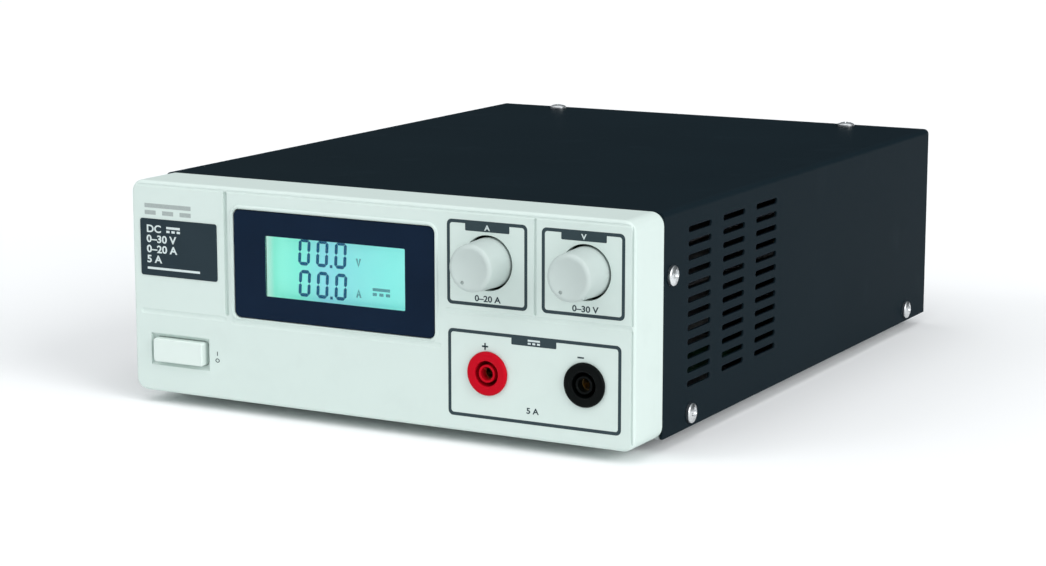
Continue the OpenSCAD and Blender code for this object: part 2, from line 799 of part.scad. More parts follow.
module fan_guard() {
    wire_dia = 1.6;
    ring_y = rear_out + 2;
    ring_step = 7;
    spoke_start = fan_size / 2 - 1.4 - 3 * ring_step;
    color("#C0C4C6") in_case() translate([fan_x, 0, fan_z]) {
        for (k = [0:3]) translate([0, ring_y, 0]) rotate([90, 0, 0])
            rotate_extrude($fn = 96) translate([fan_size / 2 - 1 - k * ring_step, 0])
                circle(d = wire_dia, $fn = 24);
        for (a = [45:90:315]) rotate([0, a, 0]) translate([spoke_start, rear_out + wire_dia / 2, 0])
            rotate([0, 90, 0]) cylinder(d = wire_dia, h = fan_screw_pitch / sqrt(2) - spoke_start - 3);
        for (x = [-1, 1], z = [-1, 1])
            translate([x * fan_screw_pitch / 2, 0, z * fan_screw_pitch / 2]) difference() {
                bar_y(8, rear_out, rear_out + wire_dia);
                bar_y(4.5, rear_out - cut, rear_out + wire_dia + cut);
            }
    }
}

module fan_fixings() {
    color("#C8CACC") in_case() translate([fan_x, 0, fan_z]) for (x = [-1, 1], z = [-1, 1])
        translate([x * fan_screw_pitch / 2, 0, z * fan_screw_pitch / 2]) {
            translate([0, rear_out + 1.6, 0]) rotate([-90, 0, 0])
                pan_screw(7.4, 2.4, 3.9, 1.6 + chassis_t + fan_depth + 4.5);
            difference() {
                rotate([-90, 0, 0]) translate([0, 0, fan_front - 3.2]) cylinder(d = 8, h = 3.2, $fn = 6);
                bar_y(4, fan_front - 3.2 - cut, fan_front + cut);
            }
        }
}

// ---- Mains inlet ----

// Opening for the mains connector: a rectangle with two corners cut off
module cavity_shape() {
    w = cavity_w / 2;
    h = cavity_h / 2;
    polygon([[-w, -h], [w, -h], [w, h - 4], [w - 4, h], [4 - w, h], [-w, h - 4]]);
}

function pin_places() = [[-7, -2], [7, -2], [0, 2]];

module mains_inlet() {
    color("#1B1D20") in_case() difference() {
        translate([inlet_x, 0, inlet_z]) {
            plate_y(inlet_flange_w, inlet_flange_h, 4, rear_out, inlet_front);
            plate_y(inlet_body_w, inlet_body_h, 1, inlet_front - inlet_body_l, rear_out + cut);
        }
        translate([inlet_x, inlet_front + cut, cavity_z]) rotate([90, 0, 0])
            linear_extrude(cavity_l + cut) cavity_shape();
        for (p = pin_places()) translate([inlet_x + p[0], 0, cavity_z + p[1]])
            block(-1, 1, inlet_front - inlet_body_l - cut, inlet_front, -2, 2);
        translate([inlet_x, 0, drawer_z])
            block(-drawer_w / 2 - clear, drawer_w / 2 + clear, inlet_front - drawer_l - cut,
                inlet_front + cut, -drawer_h / 2 - clear, drawer_h / 2 + clear);
        for (s = [-1, 1]) translate([inlet_x + s * 20, 0, inlet_z])
            bar_y(3.3, rear_out - cut, inlet_front + cut);
    }
}

module inlet_pins() {
    color("#C9A24A") in_case() for (p = pin_places()) translate([inlet_x + p[0], 0, cavity_z + p[1]])
        block(-1, 1, inlet_front - inlet_body_l - 6, inlet_front - 2, -2, 2);
}

module inlet_screws() {
    color("#C8CACC") in_case() for (s = [-1, 1]) translate([inlet_x + s * 20, inlet_front, inlet_z])
        rotate([-90, 0, 0]) pan_screw(5.8, 1.8, 3, inlet_flange_t + chassis_t + 5);
}

module fuse_drawer() {
    color("#232629") in_case() translate([inlet_x, 0, drawer_z]) difference() {
        union() {
            block(-drawer_w / 2, drawer_w / 2, inlet_front - drawer_l, inlet_front,
                -drawer_h / 2, drawer_h / 2);
            plate_y(drawer_w + 2.4, drawer_h + 2.4, 1, inlet_front + 0.1, inlet_front + 1.6);
            plate_y(drawer_w, drawer_h, 1, inlet_front - cut, inlet_front + cut);
        }
        block(-fuse_l / 2 - 0.2, fuse_l / 2 + 0.2, inlet_front - 14, inlet_front - 7, -2.8, drawer_h);
    }
}

module mains_fuse() {
    cap = 5;
    color("#D6DADC") in_case() translate([inlet_x - fuse_l / 2, inlet_front - 10.5, drawer_z])
        rotate([0, 90, 0]) {
            cylinder(d = fuse_dia, h = cap);
            translate([0, 0, cap]) cylinder(d = fuse_dia - 0.4, h = fuse_l - 2 * cap);
            translate([0, 0, fuse_l - cap]) cylinder(d = fuse_dia, h = cap);
        }
}

// ---- Main terminals ----

module terminal_bases() {
    color("#17191C") in_case() for (x = terminals) translate([x, 0, terminal_z]) {
        difference() {
            union() {
                bar_y(terminal_base_dia, rear_out, rear_out + terminal_base_t);
                bar_y(stud_dia + 2.8, rear_in, rear_out + cut);
            }
            bar_y(stud_dia + 2 * running, rear_in - cut, rear_out + terminal_base_t + cut);
        }
        difference() {
            bar_y(terminal_base_dia - 2, rear_in - washer_t, rear_in);
            bar_y(stud_dia + 2 * running, rear_in - washer_t - cut, rear_in + cut);
        }
    }
}

module terminal_studs() {
    color("#C9A24A") in_case() for (x = terminals) translate([x, 0, terminal_z]) difference() {
        bar_y(stud_dia, stud_back, stud_end);
        bar_y(plug_dia, stud_end - stud_bore_l, stud_end + cut);
        translate([0, cap_start + 2, -stud_dia]) cylinder(d = 3, h = 2 * stud_dia);
    }
}

module terminal_nuts() {
    back = rear_in - washer_t - lug_ring_t;
    color("#C8CACC") in_case() for (x = terminals) translate([x, 0, terminal_z]) difference() {
        rotate([-90, 0, 0]) translate([0, 0, back - 5]) cylinder(d = 12.7, h = 5, $fn = 6);
        bar_y(stud_dia + 2 * running, back - 5 - cut, back + cut);
    }
}

module terminal_insert(x) {
    color("#C9A24A") in_case() translate([x, 0, terminal_z]) difference() {
        bar_y(insert_dia, insert_start, insert_start + insert_l);
        bar_y(stud_dia + 2 * running, insert_start - cut, insert_start + insert_l + cut);
    }
}

module positive_insert() { terminal_insert(terminals[0]); }

module negative_insert() { terminal_insert(terminals[1]); }

module terminal_cap(x, shade) {
    color(shade) in_case() translate([x, 0, terminal_z]) difference() {
        bar_y(cap_dia, cap_start, cap_end);
        bar_y(stud_dia + 1, cap_start - cut, cap_end + cut);
        bar_y(insert_dia + 2 * running, insert_start - running, insert_start + insert_l + running);
        for (a = [0:30:330]) rotate([0, a, 0]) translate([cap_dia / 2 + 0.4, 0, 0])
            bar_y(2.4, cap_start + 4, cap_end + cut);
    }
}

module positive_cap() { terminal_cap(terminals[0], "#E10F32"); }

module negative_cap() { terminal_cap(terminals[1], "#17191C"); }

// ---- Power electronics ----

module main_board() {
    color("#1E5A38") in_case() difference() {
        block(-board_w / 2, board_w / 2, board_front, board_front + board_l, board_z, board_top);
        for (p = standoffs) translate([p[0], p[1], 0]) cylinder(d = 3.4, h = board_top + cut);
    }
}

module board_fixings() {
    color("#C8CACC") in_case() for (p = standoffs) translate([p[0], p[1], 0]) {
        difference() {
            translate([0, 0, floor_z]) cylinder(d = 6.3, h = standoff_h, $fn = 6);
            translate([0, 0, board_z - 4.5]) cylinder(d = 3 + 2 * running, h = 5);
        }
        translate([0, 0, floor_z - chassis_t]) cylinder(d = 3, h = chassis_t);
        translate([0, 0, board_top]) pan_screw(5.8, 1.8, 3, board_t + 4);
    }
}

module heat_sinks() {
    color("#9AA0A4") in_case() for (s = [-1, 1]) {
        translate([s * (sink_inner_x + sink_base_t / 2), 0, 0])
            block(-sink_base_t / 2, sink_base_t / 2, sink_y, sink_y + sink_l, board_top, board_top + sink_h);
        for (k = [0:5]) translate([s * (sink_inner_x + sink_base_t + fin_l / 2), 0, board_top + 2
            + k * (sink_h - 5.6) / 5])
            block(-fin_l / 2 - cut, fin_l / 2, sink_y, sink_y + sink_l, 0, 1.6);
    }
}

module power_transistors() {
    color("#1E2022") in_case() for (s = [-1, 1], k = [0:2])
        translate([s * (sink_inner_x - 2.5), sink_y + 18 + k * 36, board_top]) {
            block(-2.5, 2.5, -8, 8, 16, 37);
            for (leg = [-5.4, 0, 5.4]) block(-0.6, 0.6, leg - 0.7, leg + 0.7, 0, 17);
        }
}

module transformer_core() {
    color("#3A3D40") in_case() translate([0, transformer_y, board_top]) difference() {
        block(-28, 28, -14, 14, 0, 46);
        for (s = [-1, 1]) translate([s * 14, 0, 0]) block(-5, 5, -14 - cut, 14 + cut, 10, 36);
    }
}

module transformer_winding() {
    color("#E0C23C") in_case() translate([0, transformer_y, board_top]) difference() {
        translate([0, 0, 10.3]) linear_extrude(25.4) rounded_rect(37.4, 48, 5);
        block(-9.3, 9.3, -14.3, 14.3, 9, 37);
    }
}

module capacitors() {
    color("#2A3550") in_case() {
        for (x = [-30, 4]) translate([x, board_front + 30, board_top]) cylinder(d = 30, h = 48);
        for (x = [24, 42], y = [138, 158]) translate([x, board_front + y, board_top])
            cylinder(d = 16, h = 32);
    }
}

// A wound ring lying flat on the board
module ring_choke(mean_r, core_r) {
    translate([0, 0, board_top + core_r]) rotate_extrude() translate([mean_r, 0]) circle(core_r);
}

module chokes() {
    color("#B8763A") in_case() {
        translate([-12, board_front + 154, 0]) ring_choke(14, 9);
        translate([36, board_front + 16, 0]) ring_choke(8, 5);
    }
}

module bridge_rectifier() {
    color("#1E2022") in_case() translate([-60, board_front + 9, board_top]) {
        block(-15, 15, -3, 3, 4, 24);
        for (x = [-11, -4, 4, 11]) block(x - 0.6, x + 0.6, -0.5, 0.5, 0, 5);
    }
}

module output_leads() {
    ring_y = rear_in - washer_t - lug_ring_t / 2;
    color("#B03A2E") in_case() for (x = terminals) {
        translate([x, 0, terminal_z]) difference() {
            union() {
                bar_y(lug_ring_dia, ring_y - lug_ring_t / 2, ring_y + lug_ring_t / 2);
                block(-3, 3, ring_y - lug_ring_t / 2, ring_y + lug_ring_t / 2, -14, 0);
            }
            bar_y(stud_dia + 2 * running, ring_y - lug_ring_t, ring_y + lug_ring_t);
        }
        wire([[x, ring_y, terminal_z - 14], [x, ring_y, terminal_z - 20], [x, ring_y - 4, terminal_z - 26],
            [x, ring_y - 12, 21], [x, ring_y - 22, 20], [x, ring_y - 32, 20], [x, output_pad_y + 6, 19],
            [x, output_pad_y + 1, 16], [x, output_pad_y, board_top]], 4, [1, 0, 0]);
    }
}

// Mains wires run from the inlet along the right side and across the front to the switch
module mains_leads() {
    tab_y = inlet_front - inlet_body_l - 6;
    side_x = flange_x - 14;
    gap = 5;
    color("#6B4A2E") in_case() for (k = [0, 1])
        wire([[inlet_x - 7 + 14 * k, tab_y, cavity_z - 2], [inlet_x - 7 + 14 * k, tab_y - 5, cavity_z - 5],
            [inlet_x + 6 + 12 * k, tab_y - 9, 27], [side_x - 5 + gap * k, tab_y - 12, 20],
            [side_x + gap * k, tab_y - 20, 11], [side_x + gap * k, tab_y - 36, 4],
            [side_x + gap * k, 160, 4], [side_x + gap * k, 90, 4],
            [side_x - 5 + gap * k, 66 - gap * k, 4], [side_x - 18 + gap * k, 58 - gap * k, 4],
            [-40, 58 - gap * k, 4], [button_x + 24, 57 - gap * k, 6 + 2 * k],
            [button_x + switch_w / 2 + 5, 57 - gap * k, 12 + 5 * k],
            [button_x + switch_w / 2, 57 - gap * k, 13 + 5 * k]], 3, [0, 0, 1]);
}

module aux_leads() {
    color("#B03A2E") in_case() for (x = columns)
        wire([[x, tag_end, socket_z], [x, tag_end + 6, socket_z], [x, 46, 18],
            [(x + 56) / 2, 60, 17], [56 + (x - 56) * 0.3, board_front + 3, 15],
            [56 + (x - 56) * 0.3, board_front + 6, board_top]], 2.6, [1, 0, 0]);
}

module ribbon_cable() {
    t = 1;
    z = 40;
    drop_y = wall_back + 8;
    end_y = board_front + 8;
    color("#9AA3A8") in_case() translate([ribbon_x, 0, 0]) {
        block(-12, 12, control_y + control_t, drop_y, z, z + t);
        block(-12, 12, drop_y - t, drop_y, 14, z + t);
        block(-12, 12, drop_y - t, end_y, 14, 14 + t);
        block(-12, 12, end_y - t, end_y, board_top, 14 + t);
    }
}

front_bezel();
display_window();
display_frame();
display_glass();
display_backlight();
label_plate();
control_board();
control_board_screws();
current_pot();
voltage_pot();
current_shaft();
voltage_shaft();
current_knob();
voltage_knob();
power_button();
power_rod();
power_switch();
switch_bracket();
positive_socket();
negative_socket();
socket_contacts();
socket_nuts();
chassis_base();
top_cover();
rear_panel();
bezel_screws();
cover_screws();
clinch_nuts();
rear_rivets();
feet();
foot_fixings();
fan_frame();
fan_rotor();
fan_guard();
fan_fixings();
mains_inlet();
inlet_pins();
inlet_screws();
fuse_drawer();
mains_fuse();
terminal_bases();
terminal_studs();
terminal_nuts();
positive_insert();
negative_insert();
positive_cap();
negative_cap();
main_board();
board_fixings();
heat_sinks();
power_transistors();
transformer_core();
transformer_winding();
capacitors();
chokes();
bridge_rectifier();
output_leads();
mains_leads();
aux_leads();
ribbon_cable();
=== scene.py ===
from math import asin, cos, pi, radians, sin, tau

import bmesh
import bpy
from mathutils import Matrix, Vector


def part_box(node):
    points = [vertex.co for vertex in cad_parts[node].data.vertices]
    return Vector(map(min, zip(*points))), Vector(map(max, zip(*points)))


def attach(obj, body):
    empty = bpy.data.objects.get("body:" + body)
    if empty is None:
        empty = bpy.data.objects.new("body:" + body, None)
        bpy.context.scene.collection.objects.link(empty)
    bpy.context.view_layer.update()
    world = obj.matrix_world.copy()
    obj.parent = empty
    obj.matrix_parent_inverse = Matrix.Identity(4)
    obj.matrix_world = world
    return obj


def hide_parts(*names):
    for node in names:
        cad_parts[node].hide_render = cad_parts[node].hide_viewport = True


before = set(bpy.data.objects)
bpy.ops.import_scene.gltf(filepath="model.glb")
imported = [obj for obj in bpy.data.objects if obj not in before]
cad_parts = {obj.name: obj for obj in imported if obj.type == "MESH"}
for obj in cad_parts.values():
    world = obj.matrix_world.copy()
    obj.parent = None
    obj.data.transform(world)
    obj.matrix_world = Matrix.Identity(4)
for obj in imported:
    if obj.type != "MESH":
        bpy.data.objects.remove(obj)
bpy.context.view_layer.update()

# ---- Camera and studio ----
# The supply stands on a pale table, seen from the right of its front and from a little above.
# A long lens looks at it from 1 m away, under a white tent with a lamp over each shoulder.

MM = 0.001
bezel_low, bezel_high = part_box("front_bezel")
front_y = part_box("label_plate")[1].y


def at(x, depth, height):
    """A place on the case in millimetres: x from its middle, depth behind the front face and
    height above the bottom of the case."""
    return Vector((x * MM, front_y + depth * MM, bezel_low.z + height * MM))


def limits(node):
    """Lowest and highest corner of a node, in the same millimetres."""
    return [(corner - at(0, 0, 0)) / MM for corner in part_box(node)]


def middle(node):
    low, high = limits(node)
    return (low + high) / 2


def extent(node):
    low, high = limits(node)
    return high - low


case_w, case_h = (bezel_high.x - bezel_low.x) / MM, (bezel_high.z - bezel_low.z) / MM
case_d = limits("top_cover")[1].y


def added(name, data):
    """A new object in the scene."""
    made = bpy.data.objects.new(name, data)
    bpy.context.collection.objects.link(made)
    return made


camera = added("camera", bpy.data.cameras.new("camera"))
camera.data.sensor_width = 36
camera.data.lens = 88.5
camera.location = at(611.9 - case_w / 2, -802.1, 226.8)
camera.rotation_euler = Vector((-0.4706, 0.8634, -0.1817)).to_track_quat("-Z", "Y").to_euler()
bpy.context.scene.camera = camera
bpy.context.scene.view_settings.view_transform = "Standard"


class Value:
    """An output of a node. Arithmetic on it adds Math nodes to its graph."""

    def __init__(self, graph, socket):
        self.graph = graph
        self.socket = socket

    def math(self, operation, *others):
        return self.graph.node("ShaderNodeMath", {"operation": operation}, dict(enumerate(others)))

    def __add__(self, other):
        return self.math("ADD", self, other)

    __radd__ = __add__

    def __sub__(self, other):
        return self.math("SUBTRACT", self, other)

    def __rsub__(self, other):
        return self.math("SUBTRACT", other, self)

    def __mul__(self, other):
        return self.math("MULTIPLY", self, other)

    __rmul__ = __mul__

    def __truediv__(self, other):
        return self.math("DIVIDE", self, other)


class Graph:
    """A node tree: node() adds one node, with its settings first and then its inputs."""

    def fill(self, node, inputs):
        for key, value in inputs.items():
            if isinstance(value, Value):
                self.tree.links.new(value.socket, node.inputs[key])
            else:
                node.inputs[key].default_value = value

    def node(self, kind, settings, inputs, output=0):
        made = self.tree.nodes.new(kind)
        for key, value in settings.items():
            if key == "stops":
                for position, _ in value[1:-1]:
                    made.color_ramp.elements.new(position)
                for element, (position, colour) in zip(made.color_ramp.elements, value):
                    element.position = position
                    element.color = (*colour, 1)
            else:
                setattr(made, key, value)
        self.fill(made, inputs)
        return Value(self, made.outputs[output])


class Finish(Graph):
    """One material. surface() fills the sockets of its shader and returns the material."""

    def __init__(self, name):
        self.material = bpy.data.materials.new(name)
        self.material.use_nodes = True
        self.tree = self.material.node_tree
        self.shader = self.tree.nodes["Principled BSDF"]

    def place(self, stretch=(1, 1, 1)):
        point = self.node("ShaderNodeTexCoord", {}, {}, "Object")
        if stretch == (1, 1, 1):
            return point
        return self.node("ShaderNodeMapping", {}, {"Vector": point, "Scale": stretch})

    def noise(self, size_mm, detail=2, stretch=(1, 1, 1)):
        return self.node("ShaderNodeTexNoise", {}, {"Vector": self.place(stretch),
                                                    "Scale": 1 / (size_mm * MM), "Detail": detail}, 0)

    def ramp(self, value, *stops):
        """Turns a value into colours: each stop is a position and its colour."""
        return self.node("ShaderNodeValToRGB", {"stops": stops}, {"Fac": value})

    def mask(self, value, low, high):
        """0 below one limit and 1 above the other."""
        return self.node("ShaderNodeMapRange", {}, {"Value": value, "From Min": low, "From Max": high})

    def mix(self, factor, low, high):
        return self.node("ShaderNodeMix", {"data_type": "RGBA"}, {0: factor, 6: low, 7: high}, 2)

    def bump(self, height, depth_mm):
        return self.node("ShaderNodeBump", {}, {"Height": height, "Distance": depth_mm * MM})

    def surface(self, **sockets):
        self.fill(self.shader, {key.replace("_", " "): value for key, value in sockets.items()})
        return self.material


def shade_of(colour, factor):
    return (*[min(1, part * factor) for part in colour], 1)


tent = Graph()
bpy.context.scene.world = bpy.data.worlds.new("tent")
bpy.context.scene.world.use_nodes = True
tent.tree = bpy.context.scene.world.node_tree
toward = tent.node("ShaderNodeTexCoord", {}, {}, "Generated")
back, up = [tent.node("ShaderNodeSeparateXYZ", {}, {0: toward}, axis) for axis in (1, 2)]
tent_shades = [(0.08, (0.03, 0.04, 0.05)), (0.3, (0.25, 0.27, 0.28)),
               (0.62, (0.93, 0.97, 1)), (1, (0.98, 0.99, 1))]
tent_colour = tent.node("ShaderNodeValToRGB", {"stops": tent_shades}, {"Fac": 0.3 + 0.55 * up - 0.35 * back})
tent.fill(tent.tree.nodes["Background"], {"Color": tent_colour, "Strength": 0.66})


def lamp(name, toward, strength, spread):
    """A broad, distant lamp that shines along a direction."""
    light = added(name, bpy.data.lights.new(name, "SUN"))
    light.data.energy = strength
    light.data.angle = radians(spread)
    light.rotation_euler = Vector(toward).to_track_quat("-Z", "Y").to_euler()


lamp("left_lamp", (0.62, 0.70, -0.62), 0.45, 24)
lamp("right_lamp", (-0.92, 0.22, -0.42), 1.9, 40)
lamp("top_lamp", (-0.05, 0.30, -1), 0.85, 60)

paper = Finish("paper")
floor_mesh = bpy.data.meshes.new("floor")
floor_mesh.from_pydata([(-9, -9, 0), (9, -9, 0), (9, 12, 0), (-9, 12, 0)], [], [(0, 1, 2, 3)])
floor = added("floor", floor_mesh)
floor_mesh.materials.append(paper.surface(
    Base_Color=paper.mix(paper.noise(300), (0.94, 0.95, 0.955, 1), (0.96, 0.965, 0.97, 1)),
    Roughness=0.8 + 0.1 * paper.noise(20), Specular_IOR_Level=0.2,
    Normal=paper.bump(paper.noise(2), 0.02)))

# ---- Front bezel ----
# One ABS moulding in a cool light grey with a fine spark-eroded grain. Shallow grooves part its
# pads, the knobs sit in wells and the button in a scoop. Four screws from behind hold it.


def rounded_loop(w, h, r, steps=8):
    """Points round a rectangle with round corners, counter-clockwise, centred."""
    corners = [(w / 2 - r, h / 2 - r, 0), (r - w / 2, h / 2 - r, 90),
               (r - w / 2, r - h / 2, 180), (w / 2 - r, r - h / 2, 270)]
    return [(x + r * cos(radians(start + 90 * k / steps)), z + r * sin(radians(start + 90 * k / steps)))
            for x, z, start in corners for k in range(steps + 1)]


def piece_of(name, shape):
    """A new piece from a bmesh, with its faces outwards."""
    bmesh.ops.recalc_face_normals(shape, faces=shape.faces)
    mesh = bpy.data.meshes.new(name)
    shape.to_mesh(mesh)
    shape.free()
    return added(name, mesh)


def circle_points(radius, count):
    """Points round a circle about the origin."""
    return [(radius * cos(tau * k / count), radius * sin(tau * k / count)) for k in range(count)]


def add_skin(shape, rings, closed=False):
    """A skin over rings of equal length, capped at its ends or closed into a ring."""
    rows = [[shape.verts.new(point) for point in ring] for ring in rings]
    for a, b in zip(rows, rows[1:] + rows[:1] if closed else rows[1:]):
        for k in range(len(a)):
            shape.faces.new((a[k - 1], a[k], b[k], b[k - 1]))
    if not closed:
        shape.faces.new(rows[0][::-1])
        shape.faces.new(rows[-1])


def solid(name, *skins, closed=False):
    shape = bmesh.new()
    for rings in skins:
        add_skin(shape, rings, closed)
    return piece_of(name, shape)


def plate_rings(x, z, *sections):
    """Rings of an upright plate: each section is a width, height, corner radius and depth."""
    return [[at(x + u, depth, z + v) for u, v in rounded_loop(w, h, r)] for w, h, r, depth in sections]


def block(name, x, z, face, start, end):
    """An upright block whose face is a width, height and corner radius, between two depths."""
    return solid(name, plate_rings(x, z, (*face, start), (*face, end)))


def turned_rings(x, z, profile, steps=64):
    """Rings of a shape turned round an axis through the panel: each has a depth and a radius."""
    return [[at(x + u, depth, z + v) for u, v in circle_points(max(r, centre_r), steps)]
            for depth, r in profile]


def plain(piece):
    """Applies the modifiers of a piece."""
    bpy.context.view_layer.update()
    mesh = bpy.data.meshes.new_from_object(piece.evaluated_get(bpy.context.evaluated_depsgraph_get()))
    piece.modifiers.clear()
    piece.data = mesh
    return piece


def combine(piece, operation, tools):
    for tool in tools:
        step = piece.modifiers.new("step", "BOOLEAN")
        step.operation = operation
        step.solver = "EXACT"
        step.object = tool
    plain(piece)
    for tool in tools:
        bpy.data.objects.remove(tool)
    return piece


def soften(piece, width=0, segments=2, angle=35):
    """Rounds the sharp edges and shades the rest smooth."""
    if width:
        edge = piece.modifiers.new("edge", "BEVEL")
        edge.width = width * MM
        edge.segments = segments
        edge.limit_method = "ANGLE"
        edge.angle_limit = radians(angle)
        edge.miter_outer = "MITER_ARC"
        plain(piece)
    for face in piece.data.polygons:
        face.use_smooth = True
    piece.data.set_sharp_from_angle(angle=radians(angle))
    flat = piece.modifiers.new("flat", "WEIGHTED_NORMAL")
    flat.keep_sharp = True
    return plain(piece)


def fit(piece, material, body, slot, *nodes):
    """Finishes a piece: its material, the body that it rides on and the nodes that it stands for."""
    piece.data.materials.clear()
    piece.data.materials.append(material)
    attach(piece, body)
    if nodes:
        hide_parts(*nodes)
    return piece


def groove(start, end, width, depth):
    """A round-bottomed cutter along a line between two points (x, z) of the front face."""
    radius = (width * width / 4 + depth * depth) / (2 * depth)
    a, b = at(start[0], depth - radius, start[1]), at(end[0], depth - radius, end[1])
    along = (b - a).normalized()
    across = Vector((0, 1, 0)).cross(along)
    stations = [(a, k) for k in range(-6, 1)] + [(b, k) for k in range(7)]
    rings = []
    for centre, k in stations:
        reach = max(radius * cos(radians(15 * k)), 0.01) * MM
        origin = centre + along * radius * MM * sin(radians(15 * k))
        rings.append([origin + reach * (Vector((0, cos(tau * j / 48), 0)) + across * sin(tau * j / 48))
                      for j in range(48)])
    return solid("groove", rings)


def moulded_plastic(name, colour, rough=0.45, grain_mm=0.4, grain_depth=0.01, shine=0.4):
    """Plastic with the grain of its mould, clouded a little and duller where hands touch it."""
    finish = Finish(name)
    grain = finish.noise(grain_mm)
    cloud = finish.noise(60, 4)
    worn = finish.mask(finish.noise(9, 5), 0.52, 0.72)
    tint = finish.mix(cloud, shade_of(colour, 0.975), shade_of(colour, 1.025))
    return finish.surface(Base_Color=finish.mix(worn * 0.25, tint, shade_of(colour, 0.93)),
                          Roughness=rough + 0.08 * grain + 0.08 * worn, Specular_IOR_Level=shine,
                          Normal=finish.bump(grain, grain_depth))


centre_r = 0.004
bezel_depth = limits("chassis_base")[0].y
bezel_wall, skin_t = 2.5, 3.0
corner_r, front_edge_r = 5.0, 1.3
boss_r, boss_inset, lug_w, lug_h, lug_z, lug_reach = 3.5, 8, 3, 16, 60, 12.5
window_x, _, window_z = middle("display_window")
window_w, window_t, window_h = extent("display_window")
glass_x, _, glass_z = middle("display_glass")
current_x, _, knob_z = middle("current_knob")
voltage_x = middle("voltage_knob").x
knob_dia = extent("current_knob").x
socket_z = middle("positive_socket").z
button_x, _, button_z = middle("power_button")
button_w, _, button_h = extent("power_button") - Vector((3, 0, 2.4))
scoop_w, scoop_h, scoop_depth = button_w + 4.5, button_h + 3.6, 3.5
mid_z = case_h / 2

rounding = [front_edge_r * (1 - cos(radians(18 * k))) for k in range(6)]
outside = plate_rings(0, mid_z, (case_w, case_h, corner_r, bezel_depth), *[
    (case_w - 2 * inset, case_h - 2 * inset, corner_r - inset, front_edge_r * (1 - sin(radians(18 * k))))
    for k, inset in enumerate(rounding)])
inside = (case_w - 2 * bezel_wall, case_h - 2 * bezel_wall, 3)
bezel = solid("bezel", outside)
window_rim = solid("rim", plate_rings(window_x, window_z, *[
    (window_w + grow, window_h + grow, 2.6 + grow / 2, depth) for grow, depth in
    ((4.2, 0.8), (3.6, 0), (3.0, -0.35), (2.4, -0.5), (1.6, -0.5), (1.2, 0.8))]), closed=True)
button_guide = block("guide", button_x, button_z, (scoop_w + 5, scoop_h + 4, 1), 2, 6.5)
bosses = [turned_rings(s * (case_w / 2 - boss_inset), z, [(skin_t - 0.5, boss_r), (bezel_depth, boss_r)], 24)
          for s in (-1, 1) for z in (7, case_h - 7)]
lugs = [plate_rings(s * (case_w / 2 - 2.7), lug_z, (lug_w, lug_h, 0.4, bezel_depth - 6),
                    (lug_w, lug_h, 0.4, bezel_depth + lug_reach)) for s in (-1, 1)]
combine(bezel, "DIFFERENCE", [block("hollow", 0, mid_z, inside, skin_t, bezel_depth + 1)])
combine(bezel, "UNION", [window_rim, button_guide, solid("fittings", *bosses, *lugs)])

scoop_r = (scoop_h ** 2 / 4 + scoop_depth ** 2) / (2 * scoop_depth)
scoop_ends = [[at(button_x + end * scoop_w / 2, scoop_depth - scoop_r + u, button_z + v)
               for u, v in circle_points(scoop_r, 128)] for end in (-1, 1)]
holes = [solid("scoop", scoop_ends),
         block("hole", window_x, window_z, (window_w + 0.6, window_h + 0.6, 2.8), -2, window_t + 0.2),
         block("hole", glass_x, glass_z, (66, 28, 1), 0, 5),
         block("hole", button_x, button_z, (button_w + 0.6, button_h + 0.6, 1.2), 0, 9)]
holes += [solid("hole", turned_rings(x, z, [(-3, dia / 2), (9, dia / 2)], 128))
          for x in (current_x, voltage_x) for z, dia in ((knob_z, knob_dia + 1.8), (socket_z, 12.2))]
left_groove_x, knob_groove_x, right_groove_x = -65.5, (current_x + voltage_x) / 2 - 0.25, case_w / 2 - 1.2
top_groove_z = case_h - 1.8
holes += [groove((left_groove_x, 34.5), (left_groove_x, case_h - 2.8), 1.8, 1.25),
          groove((-case_w / 2 + 4.5, 32.1), (left_groove_x - 1.6, 32.1), 2.4, 0.4),
          groove((left_groove_x + 2.5, 31.4), (window_x + window_w / 2 + 2, 31.4), 2.2, 0.3),
          groove((knob_groove_x, 47), (knob_groove_x, 81.4), 1.2, 0.75),
          groove((33, 45.2), (right_groove_x - 1.2, 45.2), 2.0, 0.35),
          groove((right_groove_x, 2.6), (right_groove_x, 44), 0.8, 0.55),
          groove((right_groove_x, 46.4), (right_groove_x, top_groove_z), 0.8, 0.55),
          groove((-case_w / 2 + 3, top_groove_z), (left_groove_x - 1, top_groove_z), 1.2, 0.2),
          groove((left_groove_x + 1, top_groove_z), (right_groove_x - 0.6, top_groove_z), 1.2, 0.2)]
combine(bezel, "DIFFERENCE", holes)
soften(bezel, 0.2)
bezel_grey = moulded_plastic("bezel_grey", (0.60, 0.695, 0.66), 0.5, shine=0.3)
fit(bezel, bezel_grey, "case", "bezel", "front_bezel")

# ---- Display ----
# A smoked acrylic window lies flush in its pocket, printed dark behind except for a clear field.
# Behind the field is a liquid-crystal glass, lit from its left end and from behind.

opening_left, opening_right = window_x - 30.1, window_x + 32.0
opening_low, opening_high = window_z - 11.75, window_z + 11.7
opening_x, opening_z = (opening_left + opening_right) / 2, (opening_low + opening_high) / 2
opening_w, opening_h = opening_right - opening_left, opening_high - opening_low
window_front = limits("display_window")[0].y
window_back = limits("display_window")[1].y


def smoked_acrylic(name, colour):
    finish = Finish(name)
    haze = finish.noise(25, 5)
    wipes = finish.noise(1.2, 3, (0.15, 1, 1))
    return finish.surface(Base_Color=finish.mix(haze, shade_of(colour, 0.85), shade_of(colour, 1.2)),
                          Roughness=0.10 + 0.06 * haze + 0.05 * wipes, Specular_IOR_Level=0.045,
                          Normal=finish.bump(haze, 0.01))


